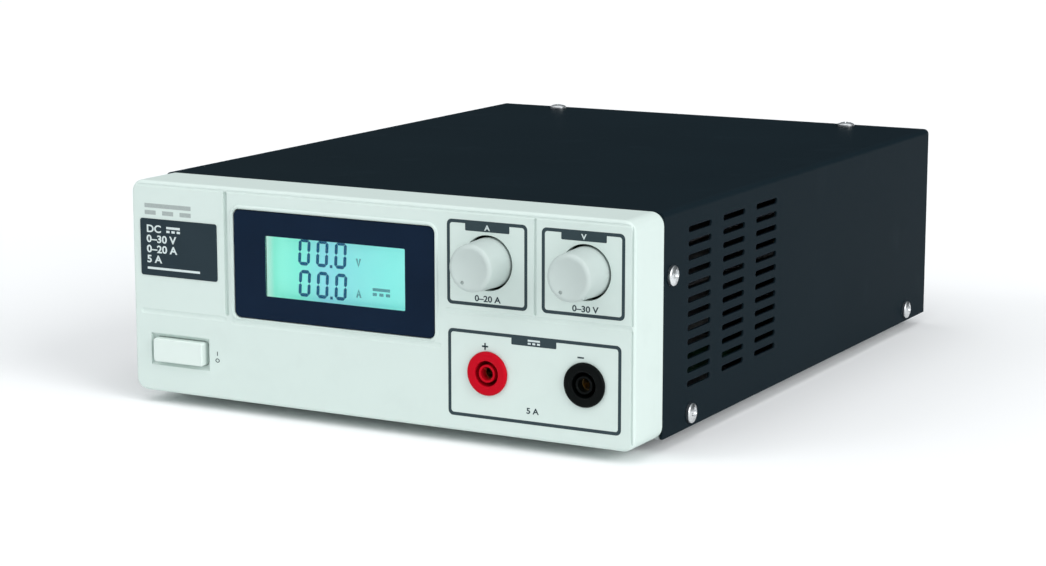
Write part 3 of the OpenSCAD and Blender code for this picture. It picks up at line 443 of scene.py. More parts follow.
border = solid("window_border", plate_rings(window_x, window_z, (window_w, window_h, 2.5, window_back),
                                            (window_w, window_h, 2.5, window_front + 0.25),
                                            (window_w - 0.2, window_h - 0.2, 2.4, window_front + 0.06),
                                            (window_w - 0.5, window_h - 0.5, 2.3, window_front))
               + plate_rings(opening_x, opening_z, (opening_w, opening_h, 0.5, window_front),
                             (opening_w, opening_h, 0.5, window_front + 0.2),
                             (opening_w + 5, opening_h + 3, 0.5, window_back)), closed=True)
soften(border, 0, angle=40)
fit(border, smoked_acrylic("window_smoke", (0.0045, 0.013, 0.031)), "case", "window", "display_window")

clear = Finish("window_clear")
haze = clear.noise(20, 4)
pane = solid("window_pane", plate_rings(opening_x, opening_z,
                                        (opening_w - 0.04, opening_h - 0.04, 0.5, window_front + 0.02),
                                        (opening_w - 0.04, opening_h - 0.04, 0.5, window_front + 0.18)))
soften(pane)
fit(pane, clear.surface(Base_Color=clear.mix(haze, (0.94, 0.98, 0.98, 1), (0.98, 1, 1, 1)),
                        Roughness=0.02 + 0.02 * haze, Transmission_Weight=1.0, IOR=1.2,
                        Normal=clear.bump(haze, 0.002)), "case", "window")

glass_front = limits("display_glass")[0].y
glass_w, glass_t, glass_h = extent("display_glass")
lcd = solid("lcd_glass", plate_rings(glass_x, glass_z, (glass_w - 0.4, glass_h - 0.4, 0.4, glass_front),
                                     (glass_w, glass_h, 0.5, glass_front + 0.25),
                                     (glass_w, glass_h, 0.5, glass_front + glass_t)))
soften(lcd)
glow = Finish("lcd_glow")
along = glow.node("ShaderNodeSeparateXYZ", {}, {0: glow.place()}, 0)
across = glow.mask(along, at(glass_x - 32, 0, 0).x, at(glass_x + 31, 0, 0).x)
light = glow.ramp(across, (0, (0.60, 1.0, 0.84)), (0.05, (0.24, 0.93, 0.68)), (0.22, (0.16, 0.80, 0.60)),
                  (0.42, (0.20, 0.58, 0.72)), (0.62, (0.19, 0.68, 0.70)), (0.9, (0.19, 0.83, 0.76)),
                  (0.985, (0.22, 0.86, 0.80)), (1, (0.55, 0.98, 0.93)))
cloud = glow.noise(8, 3)
fit(lcd, glow.surface(Base_Color=glow.mix(cloud, (0.10, 0.32, 0.30, 1), (0.12, 0.36, 0.33, 1)),
                      Emission_Color=glow.mix(cloud * 0.12, light, (0.5, 0.9, 0.85, 1)),
                      Emission_Strength=0.72, Roughness=0.2 + 0.1 * cloud),
    "case", "display_glass", "display_glass")


def flat_outline(name, outline, depth, thickness=0.04):
    """A thin flat shape on an upright face, with one outline of points (x, z) to each part."""
    shape = bmesh.new()
    faces = (depth - thickness, depth + thickness / 2)
    for points in outline:
        add_skin(shape, [[at(x, face, z) for x, z in points] for face in faces])
    return piece_of(name, shape)


def segment(x, z, length, upright):
    """A lit bar with pointed ends, centred on a point."""
    a, b = length / 2, bar_t / 2
    points = [(b - a, -b), (a - b, -b), (a, 0), (a - b, b), (b - a, b), (-a, 0)]
    return [(x - v, z + u) if upright else (x + u, z + v) for u, v in points]


digit_w, digit_h, bar_t, lean = 5.3, 10.3, 1.3, 0.06


def zero_digit(x, z):
    """The six outer bars of a digit that stands on z with its left side at x."""
    inner_w, half_h = digit_w - bar_t, (digit_h - bar_t) / 2
    bars = [segment(x + digit_w / 2, z + bar_t / 2 + k * 2 * half_h, inner_w - 0.15, False) for k in (0, 1)]
    bars += [segment(side, z + bar_t / 2 + half_h * (k + 0.5), half_h - 0.15, True)
             for side in (x + bar_t / 2, x + digit_w - bar_t / 2) for k in (0, 1)]
    return [[(u + lean * (v - z), v) for u, v in bar] for bar in bars]


def box_outline(x, z, w, h):
    return [(x, z), (x + w, z), (x + w, z + h), (x, z + h)]


digits = []
digit_lefts, digit_feet = (-35.4, -27.3, -19.1), (opening_low + 12.6, opening_low + 0.5)
for z in digit_feet:
    for x in digit_lefts:
        digits += zero_digit(x, z)
    digits.append(box_outline(-21.0, z, 1.1, 1.1))
ink_blue = Finish("lcd_segments")
thickness = ink_blue.noise(3)
ink_blue.surface(Base_Color=ink_blue.mix(thickness, (0.002, 0.030, 0.07, 1), (0.004, 0.040, 0.09, 1)),
                 Emission_Color=ink_blue.mix(thickness, (0.002, 0.075, 0.15, 1), (0.004, 0.090, 0.17, 1)),
                 Emission_Strength=0.8, Roughness=0.35 + 0.1 * thickness, Specular_IOR_Level=0.05)
fit(soften(flat_outline("lcd_digits", digits, glass_front)), ink_blue.material, "case", "display_glass")

unit_x, unit_w, unit_h, stroke = -8.2, 2.4, 3.3, 0.8
v_foot, a_foot = opening_low + 13.9, opening_low + 2.3


def slanted_strokes(wide_z, stroke_z, point_z):
    """Two strokes that meet in a point, for the V and, upside down, for the A."""
    return [[(unit_x + s * unit_w / 2, wide_z), (unit_x + s * (unit_w / 2 - stroke), wide_z),
             (unit_x, stroke_z), (unit_x, point_z)] for s in (-1, 1)]


v_mark = slanted_strokes(v_foot + unit_h, v_foot + stroke, v_foot)
a_mark = slanted_strokes(a_foot, a_foot + unit_h - stroke, a_foot + unit_h)
a_mark.append(box_outline(unit_x - 0.8, opening_low + 3.1, 1.6, 0.5))


def direct_current_sign(x, z, w, h):
    """The sign for direct current: a bar over three dashes."""
    dash = w / 3 * 0.72
    return [box_outline(x, z + h * 0.62, w, h * 0.38)] + [
        box_outline(x + k * (w - dash) / 2, z, dash, h * 0.38) for k in range(3)]


steady = direct_current_sign(-2.0, opening_low + 3.6, 7.6, 3.0)
grey_segments = Finish("lcd_units")
thickness = grey_segments.noise(3)
grey_segments.surface(
    Base_Color=grey_segments.mix(thickness, (0.02, 0.10, 0.11, 1), (0.03, 0.12, 0.13, 1)),
    Emission_Color=grey_segments.mix(thickness, (0.05, 0.23, 0.25, 1), (0.06, 0.26, 0.27, 1)),
    Emission_Strength=0.8, Roughness=0.35 + 0.1 * thickness)
fit(soften(flat_outline("lcd_units", v_mark + a_mark + steady, glass_front)), grey_segments.material,
    "case", "display_glass")

# ---- Label plate and printing ----
# A dark film plate is stuck to the upper left pad. The frames, ranges and signs are screen-printed
# on the bezel in a dark blue-grey ink, and the film's own print is pale.


def lettering(text, x, z, height, depth, widen=1.15, align="CENTER"):
    """Words or numbers as a thin mesh on an upright face, standing on z."""
    words = added("words", bpy.data.curves.new("words", "FONT"))
    words.data.body = text
    words.data.size = height * 1.38
    words.data.align_x = align
    words.data.resolution_u = 4
    words.data.offset = 0.035 * height
    words.data.extrude = 0.04
    mesh = bpy.data.meshes.new_from_object(words.evaluated_get(bpy.context.evaluated_depsgraph_get()))
    bpy.data.objects.remove(words)
    mesh.transform(Matrix.Translation(at(x, depth, z)) @ Matrix.Rotation(pi / 2, 4, "X")
                   @ Matrix.Diagonal((widen * MM, MM, MM, 1)))
    return added("words", mesh)


def joined(name, pieces):
    """One piece of several."""
    shape = bmesh.new()
    for piece in pieces:
        shape.from_mesh(piece.data)
        bpy.data.objects.remove(piece)
    mesh = bpy.data.meshes.new(name)
    bmesh.ops.remove_doubles(shape, verts=shape.verts, dist=1e-6)
    shape.to_mesh(mesh)
    shape.free()
    return added(name, mesh)


def screen_ink(name, colour):
    """Ink laid down through a mesh: nearly even, a little thin in places."""
    finish = Finish(name)
    cover = finish.noise(0.5, 3)
    return finish.surface(Base_Color=finish.mix(cover, shade_of(colour, 0.85), shade_of(colour, 1.2)),
                          Roughness=0.5 + 0.1 * cover, Specular_IOR_Level=0.3,
                          Normal=finish.bump(cover, 0.004))


def printed_frame(x0, x1, z0, z1, r, line=1.25):
    """A line round a rectangle with round corners."""
    x, z, w, h = (x0 + x1) / 2, (z0 + z1) / 2, x1 - x0, z1 - z0
    return solid("frame", plate_rings(x, z, (w, h, r, 0.02), (w, h, r, -0.04),
                                      (w - 2 * line, h - 2 * line, r - line * 0.75, -0.04),
                                      (w - 2 * line, h - 2 * line, r - line * 0.75, 0.02)), closed=True)


def tab(x0, x1, z0, z1):
    return block("tab", (x0 + x1) / 2, (z0 + z1) / 2, (x1 - x0, z1 - z0, 0.4), 0.02, -0.045)


dark_ink = screen_ink("dark_ink", (0.019, 0.038, 0.046))
pale_ink = screen_ink("pale_ink", (0.56, 0.64, 0.64))
grey_ink = screen_ink("grey_ink", (0.33, 0.38, 0.37))

frames = [printed_frame(33.0, 66.5, 47.7, 79.3, 2), tab(40.7, 59.1, 75.4, 78.6),
          printed_frame(72.4, 105.8, 47.8, 79.1, 2), tab(80.3, 98.5, 75.3, 78.5),
          printed_frame(33.3, 104.6, 5.8, 38.6, 2), tab(59.9, 78.4, 34.9, 38.0)]
marks = [lettering("0–20 A", current_x, 49.6, 2.3, 0), lettering("0–30 V", voltage_x, 49.6, 2.3, 0),
         lettering("5 A", 68.6, 9.8, 2.2, 0),
         lettering("I", -70.6, 17.3, 1.6, 0), lettering("O", -70.6, 14.6, 1.6, 0),
         flat_outline("signs", [box_outline(47.6, 32.7, 2.6, 0.6), box_outline(48.6, 31.7, 0.6, 2.6),
                                box_outline(87.0, 32.5, 2.6, 0.6)], 0)]
fit(joined("panel_print", frames + marks), dark_ink, "case", "label")
tab_signs = [lettering("A", 49.9, 76.0, 2.0, -0.04), lettering("V", 89.4, 75.9, 2.0, -0.04),
             flat_outline("sign", direct_current_sign(66.7, 35.5, 5.0, 1.8), -0.045)]
fit(joined("tab_print", tab_signs), pale_ink, "case", "bezel")
fit(flat_outline("corner_sign", direct_current_sign(-103.8, 70.6, 22.0, 4.4), 0), grey_ink, "case", "bezel")

label_x, _, label_z = middle("label_plate")
label_w, label_t, label_h = extent("label_plate")
label = solid("label_plate_film", plate_rings(label_x, label_z, (label_w, label_h, 1, 0),
                                              (label_w, label_h, 1, -label_t + 0.1),
                                              (label_w - 0.2, label_h - 0.2, 0.9, -label_t)))
film = Finish("label_film")
weave = film.noise(0.35)
cloud = film.noise(18, 4)
film_colour = film.mix(cloud, (0.014, 0.027, 0.035, 1), (0.019, 0.034, 0.044, 1))
fit(soften(label), film.surface(Base_Color=film_colour, Roughness=0.42 + 0.1 * weave, Specular_IOR_Level=0.12,
                                Normal=film.bump(weave, 0.006)), "case", "label", "label_plate")
label_left, label_foot = label_x - label_w / 2, label_z - label_h / 2
rows = [("DC", 17.2), ("0–30 V", 13.2), ("0–20 A", 9.2), ("5 A", 5.2)]
film_print = [lettering(text, label_left + 3.0, label_foot + z, 2.95, -label_t, 1.2, "LEFT")
              for text, z in rows]
rule = box_outline(label_left + 3.2, label_foot + 2.5, 25, 0.9)
sign = direct_current_sign(label_left + 12.6, label_foot + 17.4, 6.5, 2.4)
film_print += [flat_outline("rule", [rule], -label_t), flat_outline("sign", sign, -label_t)]
fit(joined("film_print", film_print), pale_ink, "case", "label")

# ---- Power button ----
# A hollow white ABS key that stands 2 mm out of the scoop. A flange behind the face keeps it in,
# and a nylon rod joins it to the latching switch.

button_front = limits("power_button")[0].y
button_back = limits("power_button")[1].y
flange_y = button_back - 1.5
key = [(button_w - 1.0, button_h - 1.0, 0.8, button_front),
       (button_w - 0.35, button_h - 0.35, 0.95, button_front + 0.12),
       (button_w - 0.08, button_h - 0.08, 1.0, button_front + 0.4),
       (button_w, button_h, 1.0, button_front + 0.8),
       (button_w, button_h, 1.0, flange_y), (button_w + 3, button_h + 2.4, 1.0, flange_y),
       (button_w + 3, button_h + 2.4, 1.0, button_back), (button_w - 2.6, button_h - 2.6, 0.6, button_back),
       (button_w - 2.6, button_h - 2.6, 0.6, 0)]
button = solid("button", plate_rings(button_x, button_z, *key))
soften(button, 0, angle=50)
fit(button, moulded_plastic("button_white", (0.66, 0.745, 0.71), 0.42, 0.5, 0.006, 0.3),
    "power_button", "button", "power_button")

# ---- Knobs ----
# Two satin ABS knobs pressed on the potentiometer shafts. Each has a slight taper, a round edge,
# a dished front and a small dimple that points to the setting.

knob_front_dia, knob_edge_r, dish_depth = 17.6, 1.6, 1.0
knob_hollow_r, knob_hub_r, shaft_r = 7.7, 5, 3.01
dish_edge = knob_front_dia / 2 - knob_edge_r
dish_r = (dish_edge ** 2 + dish_depth ** 2) / (2 * dish_depth)
pointer_turn = radians(210)
# The knobs share the bezel's grey; here that grey is darkened by about a quarter, painted shade that stands
# for the shading in the dish.
knob_painted_shade_grey = moulded_plastic("knob_painted_shade_grey", (0.46, 0.53, 0.51), 0.4, 0.5, 0.006, 0.3)
dimple_floor_grey = screen_ink("dimple_floor_grey", (0.34, 0.39, 0.38))
for name, x in (("current", current_x), ("voltage", voltage_x)):
    front, back = limits(f"{name}_knob")[0].y, limits(f"{name}_knob")[1].y
    dish = [(front + dish_depth - dish_r * (1 - cos(a)), dish_r * sin(a))
            for a in [asin(dish_edge / dish_r) * k / 10 for k in range(11)]]
    edge = [(front + knob_edge_r * (1 - cos(radians(a))), dish_edge + knob_edge_r * sin(radians(a)))
            for a in range(10, 91, 10)]
    shell = [(back - 0.3, knob_dia / 2), (back, knob_dia / 2 - 0.3), (back, knob_hollow_r),
             (front + 4, knob_hollow_r), (front + 4, knob_hub_r), (back, knob_hub_r), (back, shaft_r),
             (front + 4.5, shaft_r), (front + 4.5, 0)]
    knob = solid(f"{name}_dial", turned_rings(x, knob_z, dish + edge + shell, 96))
    dimple_x = x + (knob_front_dia / 2 - 2.6) * sin(pointer_turn)
    dimple_z = knob_z + (knob_front_dia / 2 - 2.6) * cos(pointer_turn)
    dimple = turned_rings(dimple_x, dimple_z, [(front - 1, 0.7), (front + 0.75, 0.7)], 24)
    combine(knob, "DIFFERENCE", [solid("dimple", dimple)])
    soften(knob, 0, angle=40)
    fit(knob, knob_painted_shade_grey, f"{name}_dial", "knobs", f"{name}_knob")
    # Each dimple's floor is a disc of darker grey than the knob.
    dot_section = [(front + 0.58, 0), (front + 0.6, 0.4), (front + 0.66, 0.68), (front + 0.9, 0.68)]
    dot = solid(f"{name}_pointer", turned_rings(dimple_x, dimple_z, dot_section, 24))
    fit(soften(dot), dimple_floor_grey, f"{name}_dial", "knobs")

# ---- Front sockets ----
# Shrouded 4 mm safety sockets, moulded in red and black. Each is clamped through the face by a
# hexagon nut, and holds a turned brass contact in a sleeve down the middle of its well.

socket_back = limits("positive_socket")[1].y
socket_front = limits("positive_socket")[0].y
flange_r = extent("positive_socket").x / 2
contact_front, contact_back = limits("socket_contacts")[0].y + 3, limits("socket_contacts")[1].y


def gloss_moulding(name, colour, rough=0.3):
    """Hard, shiny plastic with fine handling marks."""
    finish = Finish(name)
    marks = finish.noise(0.8, 5, (1, 0.2, 1))
    cloud = finish.noise(12, 3)
    return finish.surface(Base_Color=finish.mix(cloud, shade_of(colour, 0.92), shade_of(colour, 1.08)),
                          Roughness=rough + 0.08 * marks, Specular_IOR_Level=0.04,
                          Coat_Weight=0.01 + 0.02 * cloud, Coat_Roughness=0.15,
                          Normal=finish.bump(marks, 0.006))


def turned_metal(name, colour, rough=0.22):
    """Metal from the lathe: fine rings round the axis and a few dull spots."""
    finish = Finish(name)
    rings = finish.noise(0.25, 2, (0.05, 1, 0.05))
    tarnish = finish.noise(5, 4)
    return finish.surface(Base_Color=finish.mix(tarnish, shade_of(colour, 0.82), shade_of(colour, 1.05)),
                          Metallic=1.0, Roughness=rough + 0.15 * tarnish + 0.06 * rings,
                          Normal=finish.bump(rings, 0.004))


socket_red = gloss_moulding("socket_red", (0.48, 0.0025, 0.013), 0.34)
socket_black = gloss_moulding("socket_black", (0.0025, 0.0035, 0.0035), 0.34)
body_r, well_r, sleeve_r, contact_r = 6, 4.8, 3.4, 2.51
section = [(socket_back, contact_r), (socket_back, body_r), (0, body_r), (0, flange_r - 0.1),
           (-0.12, flange_r), (socket_front + 0.75, flange_r), (socket_front + 0.3, flange_r - 0.25),
           (socket_front + 0.05, flange_r - 0.7), (socket_front, flange_r - 1.1), (socket_front, 5.5),
           (socket_front + 0.1, 5.1), (socket_front + 0.45, well_r), (socket_back - 3, well_r),
           (socket_back - 3, sleeve_r), (socket_front + 0.75, sleeve_r), (socket_front + 0.5, 3.15),
           (socket_front + 0.5, 2.75), (socket_front + 0.75, contact_r)]
poles = (("positive", current_x, socket_red, "red_plastic"),
         ("negative", voltage_x, socket_black, "black_plastic"))
for name, x, colour, slot in poles:
    moulding = solid(f"{name}_shroud", turned_rings(x, socket_z, section, 80), closed=True)
    fit(soften(moulding, 0, angle=40), colour, "case", slot, f"{name}_socket")
brass = turned_metal("turned_brass", (0.78, 0.58, 0.24))
bore = [(contact_front + 20, 0), (contact_front + 20, 2), (contact_front + 0.35, 2), (contact_front, 2.2),
        (contact_front, 2.35), (contact_front + 0.15, 2.5), (contact_back - 0.3, 2.5), (contact_back, 2.2),
        (contact_back, 0)]
contacts = solid("contacts", *[turned_rings(x, socket_z, bore, 48) for x in (current_x, voltage_x)])
fit(soften(contacts), brass, "case", "brass", "socket_contacts")

# ---- Cover ----
# Sheet steel 1 mm thick, bent down at both sides and powder-coated satin black. Three columns of
# twelve round-ended slots are punched in each side. It hooks behind the bezel and is screwed on.

cover_front = limits("top_cover")[0].y
cover_t, bend_r = 1.0, 2.2
slot_l, slot_h, row_pitch, column_pitch = 20.3, 2.3, 5.29, 31.0
slot_rows, slot_columns = 12, 3
first_slot_y, first_slot_z = 44.0, 16.5
low_screw_z, screw_hole_r = 5.4, 2
side_screws = [(46.4, low_screw_z), (case_d - 25, low_screw_z), (bezel_depth + 6.5, lug_z)]
top_screw_x, top_screw_y = case_w / 2 - 36, case_d - 10


class Plan(Graph):
    """A geometry tree for things that repeat. Its sizes are inputs that the modifier sets."""

    def __init__(self, name, sizes):
        self.name = name
        self.sizes = sizes
        self.tree = bpy.data.node_groups.new(name, "GeometryNodeTree")
        self.tree.interface.new_socket("Geometry", in_out="INPUT", socket_type="NodeSocketGeometry")
        self.tree.interface.new_socket("Geometry", in_out="OUTPUT", socket_type="NodeSocketGeometry")
        self.keys = {}
        for label, size in sizes.items():
            kind = "NodeSocketInt" if isinstance(size, int) else "NodeSocketFloat"
            socket = self.tree.interface.new_socket(label, in_out="INPUT", socket_type=kind)
            self.keys[label] = socket.identifier
        self.entry = self.tree.nodes.new("NodeGroupInput")

    def given(self, label):
        return Value(self, self.entry.outputs[label])

    def point(self, x=0, y=0, z=0):
        return self.node("ShaderNodeCombineXYZ", {}, {0: x, 1: y, 2: z})

    def copies(self, points, shape, **turns):
        """A copy of a shape on each point."""
        return self.node("GeometryNodeInstanceOnPoints", {}, {"Points": points, "Instance": shape, **turns})

    def join(self, *parts):
        made = self.tree.nodes.new("GeometryNodeJoinGeometry")
        for part in parts:
            self.tree.links.new(part.socket, made.inputs[0])
        return Value(self, made.outputs[0])

    def grow(self, shape, material, spots=()):
        """The finished mesh. Spots are places and directions that the tree reads as its points."""
        real = self.node("GeometryNodeRealizeInstances", {}, {0: shape})
        last = self.node("GeometryNodeSetMaterial", {}, {"Geometry": real, "Material": material})
        self.tree.links.new(last.socket, self.tree.nodes.new("NodeGroupOutput").inputs[0])
        mesh = bpy.data.meshes.new(self.name)
        mesh.from_pydata([place for place, _ in spots], [], [])
        turns = mesh.attributes.new("turn", "FLOAT_VECTOR", "POINT")
        for k, (_, facing) in enumerate(spots):
            turns.data[k].vector = Vector(facing).to_track_quat("Z", "Y").to_euler()
        piece = added(self.name, mesh)
        step = piece.modifiers.new("grow", "NODES")
        step.node_group = self.tree
        for label, size in self.sizes.items():
            step[self.keys[label]] = size
        return plain(piece)


def on_spots(name, shape, material, spots, size=1.0):
    """A copy of one shape on every spot, turned to face its way."""
    plan = Plan(name, {"Size": size})
    copy = plan.node("GeometryNodeObjectInfo", {}, {"Object": shape}, "Geometry")
    facing = plan.node("GeometryNodeInputNamedAttribute", {"data_type": "FLOAT_VECTOR"}, {"Name": "turn"})
    size = plan.point(plan.given("Size"), plan.given("Size"), plan.given("Size"))
    copies = plan.copies(Value(plan, plan.entry.outputs["Geometry"]), copy, Rotation=facing, Scale=size)
    piece = plan.grow(copies, material, spots)
    bpy.data.objects.remove(shape)
    return piece


def powder_coat(name, colour, rough=0.5):
    """Baked powder: a soft ripple, fine grit, and bare-looking rubs here and there."""
    finish = Finish(name)
    ripple = finish.noise(1.6, 2)
    grit = finish.noise(0.3, 2)
    rubs = finish.mask(finish.noise(28, 6), 0.60, 0.78)
    cloud = finish.noise(70, 3)
    tint = finish.mix(cloud, shade_of(colour, 0.9), shade_of(colour, 1.1))
    return finish.surface(Base_Color=finish.mix(rubs * 0.2, tint, shade_of(colour, 1.5)),
                          Roughness=rough + 0.06 * grit - 0.05 * rubs, Specular_IOR_Level=0.01,
                          Normal=finish.bump(0.6 * ripple + 0.4 * grit, 0.02))


def cover_section(inset, r):
    """Half way round the cover's end, from the left foot over the top to the right foot."""
    half = case_w / 2 - inset
    top = case_h - inset
    left = [(-half, 0)] + [(-half + r - r * sin(radians(a)), top - r + r * cos(radians(a)))
                           for a in range(90, -1, -15)]
    return left + [(-x, z) for x, z in left[::-1]]


outline = cover_section(0, bend_r) + cover_section(cover_t, bend_r - cover_t)[::-1]
cover = solid("cover", [[at(x, depth, z) for x, z in outline] for depth in (cover_front, case_d)])
cutting = Finish("cutting").material
plan = Plan("slots", {"Columns": slot_columns, "Rows": slot_rows, "Column pitch": column_pitch * MM,
                      "Row pitch": row_pitch * MM, "Slot length": slot_l * MM, "Slot height": slot_h * MM,
                      "Reach": case_w * MM + 0.01})
grid = plan.node("GeometryNodeMeshGrid", {}, {
    "Size X": plan.given("Column pitch") * (plan.given("Columns") - 1),
    "Size Y": plan.given("Row pitch") * (plan.given("Rows") - 1),
    "Vertices X": plan.given("Columns"), "Vertices Y": plan.given("Rows")})
rectangle = plan.node("GeometryNodeCurvePrimitiveQuadrilateral", {}, {"Width": plan.given("Slot length"),
                                                                     "Height": plan.given("Slot height")})
slot = plan.node("GeometryNodeFilletCurve", {"mode": "POLY"}, {"Curve": rectangle, "Count": 5,
                                                              "Radius": plan.given("Slot height") * 0.48})
side = plan.node("GeometryNodeFillCurve", {"mode": "NGONS"}, {"Curve": slot})
block = plan.node("GeometryNodeExtrudeMesh", {}, {"Mesh": side, "Offset": plan.point(0, 0, 1),
                                                  "Offset Scale": plan.given("Reach"), "Individual": False})
back_side = plan.node("GeometryNodeFlipFaces", {}, {"Mesh": side})
tool = plan.node("GeometryNodeMergeByDistance", {}, {"Geometry": plan.join(block, back_side),
                                                     "Distance": 1e-6})
cutters = plan.grow(plan.copies(grid, tool), cutting)
upright = Matrix(((0, 0, 1, 0), (1, 0, 0, 0), (0, 1, 0, 0), (0, 0, 0, 1)))
slots_y = first_slot_y + slot_l / 2 + column_pitch * (slot_columns - 1) / 2
slots_z = first_slot_z + row_pitch * (slot_rows - 1) / 2
cutters.data.transform(Matrix.Translation(at(-case_w / 2 - 5, slots_y, slots_z)) @ upright)
hole_points = circle_points(screw_hole_r, 24)
screw_holes = solid("hole", *[[[at(end, y + u, z + v) for u, v in hole_points]
                              for end in (-case_w / 2 - 5, case_w / 2 + 5)] for y, z in side_screws])
top_holes = solid("hole", *[[[at(s * top_screw_x + u, top_screw_y + v, z) for u, v in hole_points]
                            for z in (case_h - 3, case_h + 3)] for s in (-1, 1)])
combine(cover, "DIFFERENCE", [cutters, screw_holes, top_holes])
soften(cover, 0.12, 1, 50)
fit(cover, powder_coat("cover_black", (0.0074, 0.0142, 0.0190), 0.42), "case", "cover", "top_cover")

# ---- Cover screws ----
# Eight M3 pan-head screws, bright zinc on steel, with a crossed recess. Three hold each side of the
# cover and two hold its top at the rear.


def pan_head(dia, height, shank_dia, shank_l):
    """One screw with its head standing on z = 0, in metres."""
    ball, shank_r, head_r = dia, shank_dia / 2, dia / 2
    head = [(0, -shank_l), (shank_r - 0.3, -shank_l), (shank_r, -shank_l + 0.3), (shank_r, 0)]
    rim = (ball ** 2 - head_r ** 2) ** 0.5 + height - ball
    head += [(head_r - 0.15, 0), (head_r, 0.15), (head_r, rim - 0.1)]
    sweep = asin(head_r / ball)
    for k in range(9):
        lean_back = sweep * (1 - k / 8)
        head.append((ball * sin(lean_back) * 0.985, height - ball + ball * cos(lean_back)))
    screw = solid("screw", [[Vector((u, v, z)) * MM for u, v in circle_points(max(r, centre_r), 32)]
                            for r, z in head])
    arms = []
    for turn in (0, pi / 2):
        a, b = dia * 0.29, dia * 0.065
        arms.append([[Matrix.Rotation(turn, 3, "Z") @ Vector((u * reach, v * reach, z)) * MM
                      for u, v in ((-a, -b), (a, -b), (a, b), (-a, b))]
                     for z, reach in ((height * 0.35, 0.55), (height + 0.5, 1.1))])
    for arm in arms:
        combine(screw, "DIFFERENCE", [solid("arm", arm)])
    return soften(screw, 0, angle=40)


def bright_zinc(name, colour=(0.78, 0.80, 0.81), rough=0.2):
    """Zinc plating: bright, with faint grey clouds and fine scuffs."""
    finish = Finish(name)
    cloud = finish.noise(2.5, 4)
    scuffs = finish.noise(0.4, 3)
    return finish.surface(Base_Color=finish.mix(cloud, shade_of(colour, 0.85), shade_of(colour, 1.08)),
                          Metallic=1.0, Roughness=rough + 0.12 * cloud + 0.06 * scuffs,
                          Normal=finish.bump(scuffs, 0.005))


zinc = bright_zinc("bright_zinc")
screw_spots = [(at(s * case_w / 2, y, z), (s, 0, 0)) for s in (-1, 1) for y, z in side_screws]
screw_spots += [(at(s * top_screw_x, top_screw_y, case_h), (0, 0, 1)) for s in (-1, 1)]
fit(soften(on_spots("cover_screws_cross", pan_head(7.6, 2.4, 3, 8), zinc, screw_spots), 0, angle=40), zinc,
    "case", "cover_screws", "cover_screws")

# ---- Chassis and rear panel ----
# Zinc-plated sheet, folded and joined along the bottom by four tubular rivets. The faint
# spangle of the plating shows, with long fine marks from the rolling mill.


def plated_sheet(name, colour=(0.46, 0.48, 0.485)):
    finish = Finish(name)
    spangle = finish.node("ShaderNodeTexVoronoi", {}, {"Vector": finish.place(), "Scale": 130}, "Color")
    flakes = finish.node("ShaderNodeSeparateXYZ", {}, {0: spangle}, 0)
    rolling = finish.noise(0.5, 3, (1, 0.04, 1))
    cloud = finish.noise(40, 4)
    bright = finish.mix(0.6 * flakes + 0.4 * cloud, shade_of(colour, 0.8), shade_of(colour, 1.15))
    return finish.surface(Base_Color=bright, Metallic=0.9, Roughness=0.34 + 0.12 * flakes + 0.05 * rolling,
                          Normal=finish.bump(rolling, 0.004))


def coat(material, *nodes):
    """Gives CAD nodes that keep their own shape a finish."""
    for node in nodes:
        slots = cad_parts[node].data.materials
        slots.clear()
        slots.append(material)


coat(plated_sheet("zinc_sheet"), "chassis_base", "rear_panel", "switch_bracket")
coat(zinc, "rear_rivets", "clinch_nuts", "bezel_screws", "control_board_screws", "foot_fixings",
     "socket_nuts", "board_fixings", "terminal_nuts")

# ---- Feet ----
# Four round black rubber feet with a soft lower edge, each held by a screw down its middle.


def black_rubber(name):
    finish = Finish(name)
    bloom = finish.noise(6, 5)
    skin = finish.noise(0.5, 2)
    return finish.surface(Base_Color=finish.mix(bloom, (0.010, 0.010, 0.011, 1), (0.022, 0.022, 0.024, 1)),
                          Roughness=0.72 + 0.12 * bloom, Specular_IOR_Level=0.2,
                          Normal=finish.bump(skin, 0.015))


rubber = black_rubber("foot_rubber")
foot_r, foot_h = 8.0, -limits("feet")[0].z
screw_r, recess_r, recess_top = 1.7, 3.5, 2
foot_section = [(0, screw_r), (0, foot_r), (foot_h - 1.6, foot_r), (foot_h - 1.1, foot_r - 0.08),
                (foot_h - 0.6, foot_r - 0.3), (foot_h - 0.2, foot_r - 0.7), (foot_h, foot_r - 1.2),
                (foot_h, recess_r + 0.6), (foot_h - 0.3, recess_r + 0.1), (recess_top, recess_r),
                (recess_top, screw_r)]
foot_rings = [[Vector((u, v, -drop)) * MM for u, v in circle_points(r, 48)] for drop, r in foot_section]
foot = solid("foot", foot_rings, closed=True)
feet_low, feet_high = limits("feet")
foot_spots = [(at(x, y, 0), (0, 0, 1)) for x in (feet_low.x + foot_r, feet_high.x - foot_r)
              for y in (feet_low.y + foot_r, feet_high.y - foot_r)]
fit(soften(on_spots("rubber_feet", foot, rubber, foot_spots), 0, angle=50), rubber, "case", "feet", "feet")

# ---- Fan and its guard ----
# A 60 mm axial fan behind a plated wire guard: four rings spot-welded on four spokes. The spokes
# end in eyes, and four screws through the eyes and the fan hold them all.

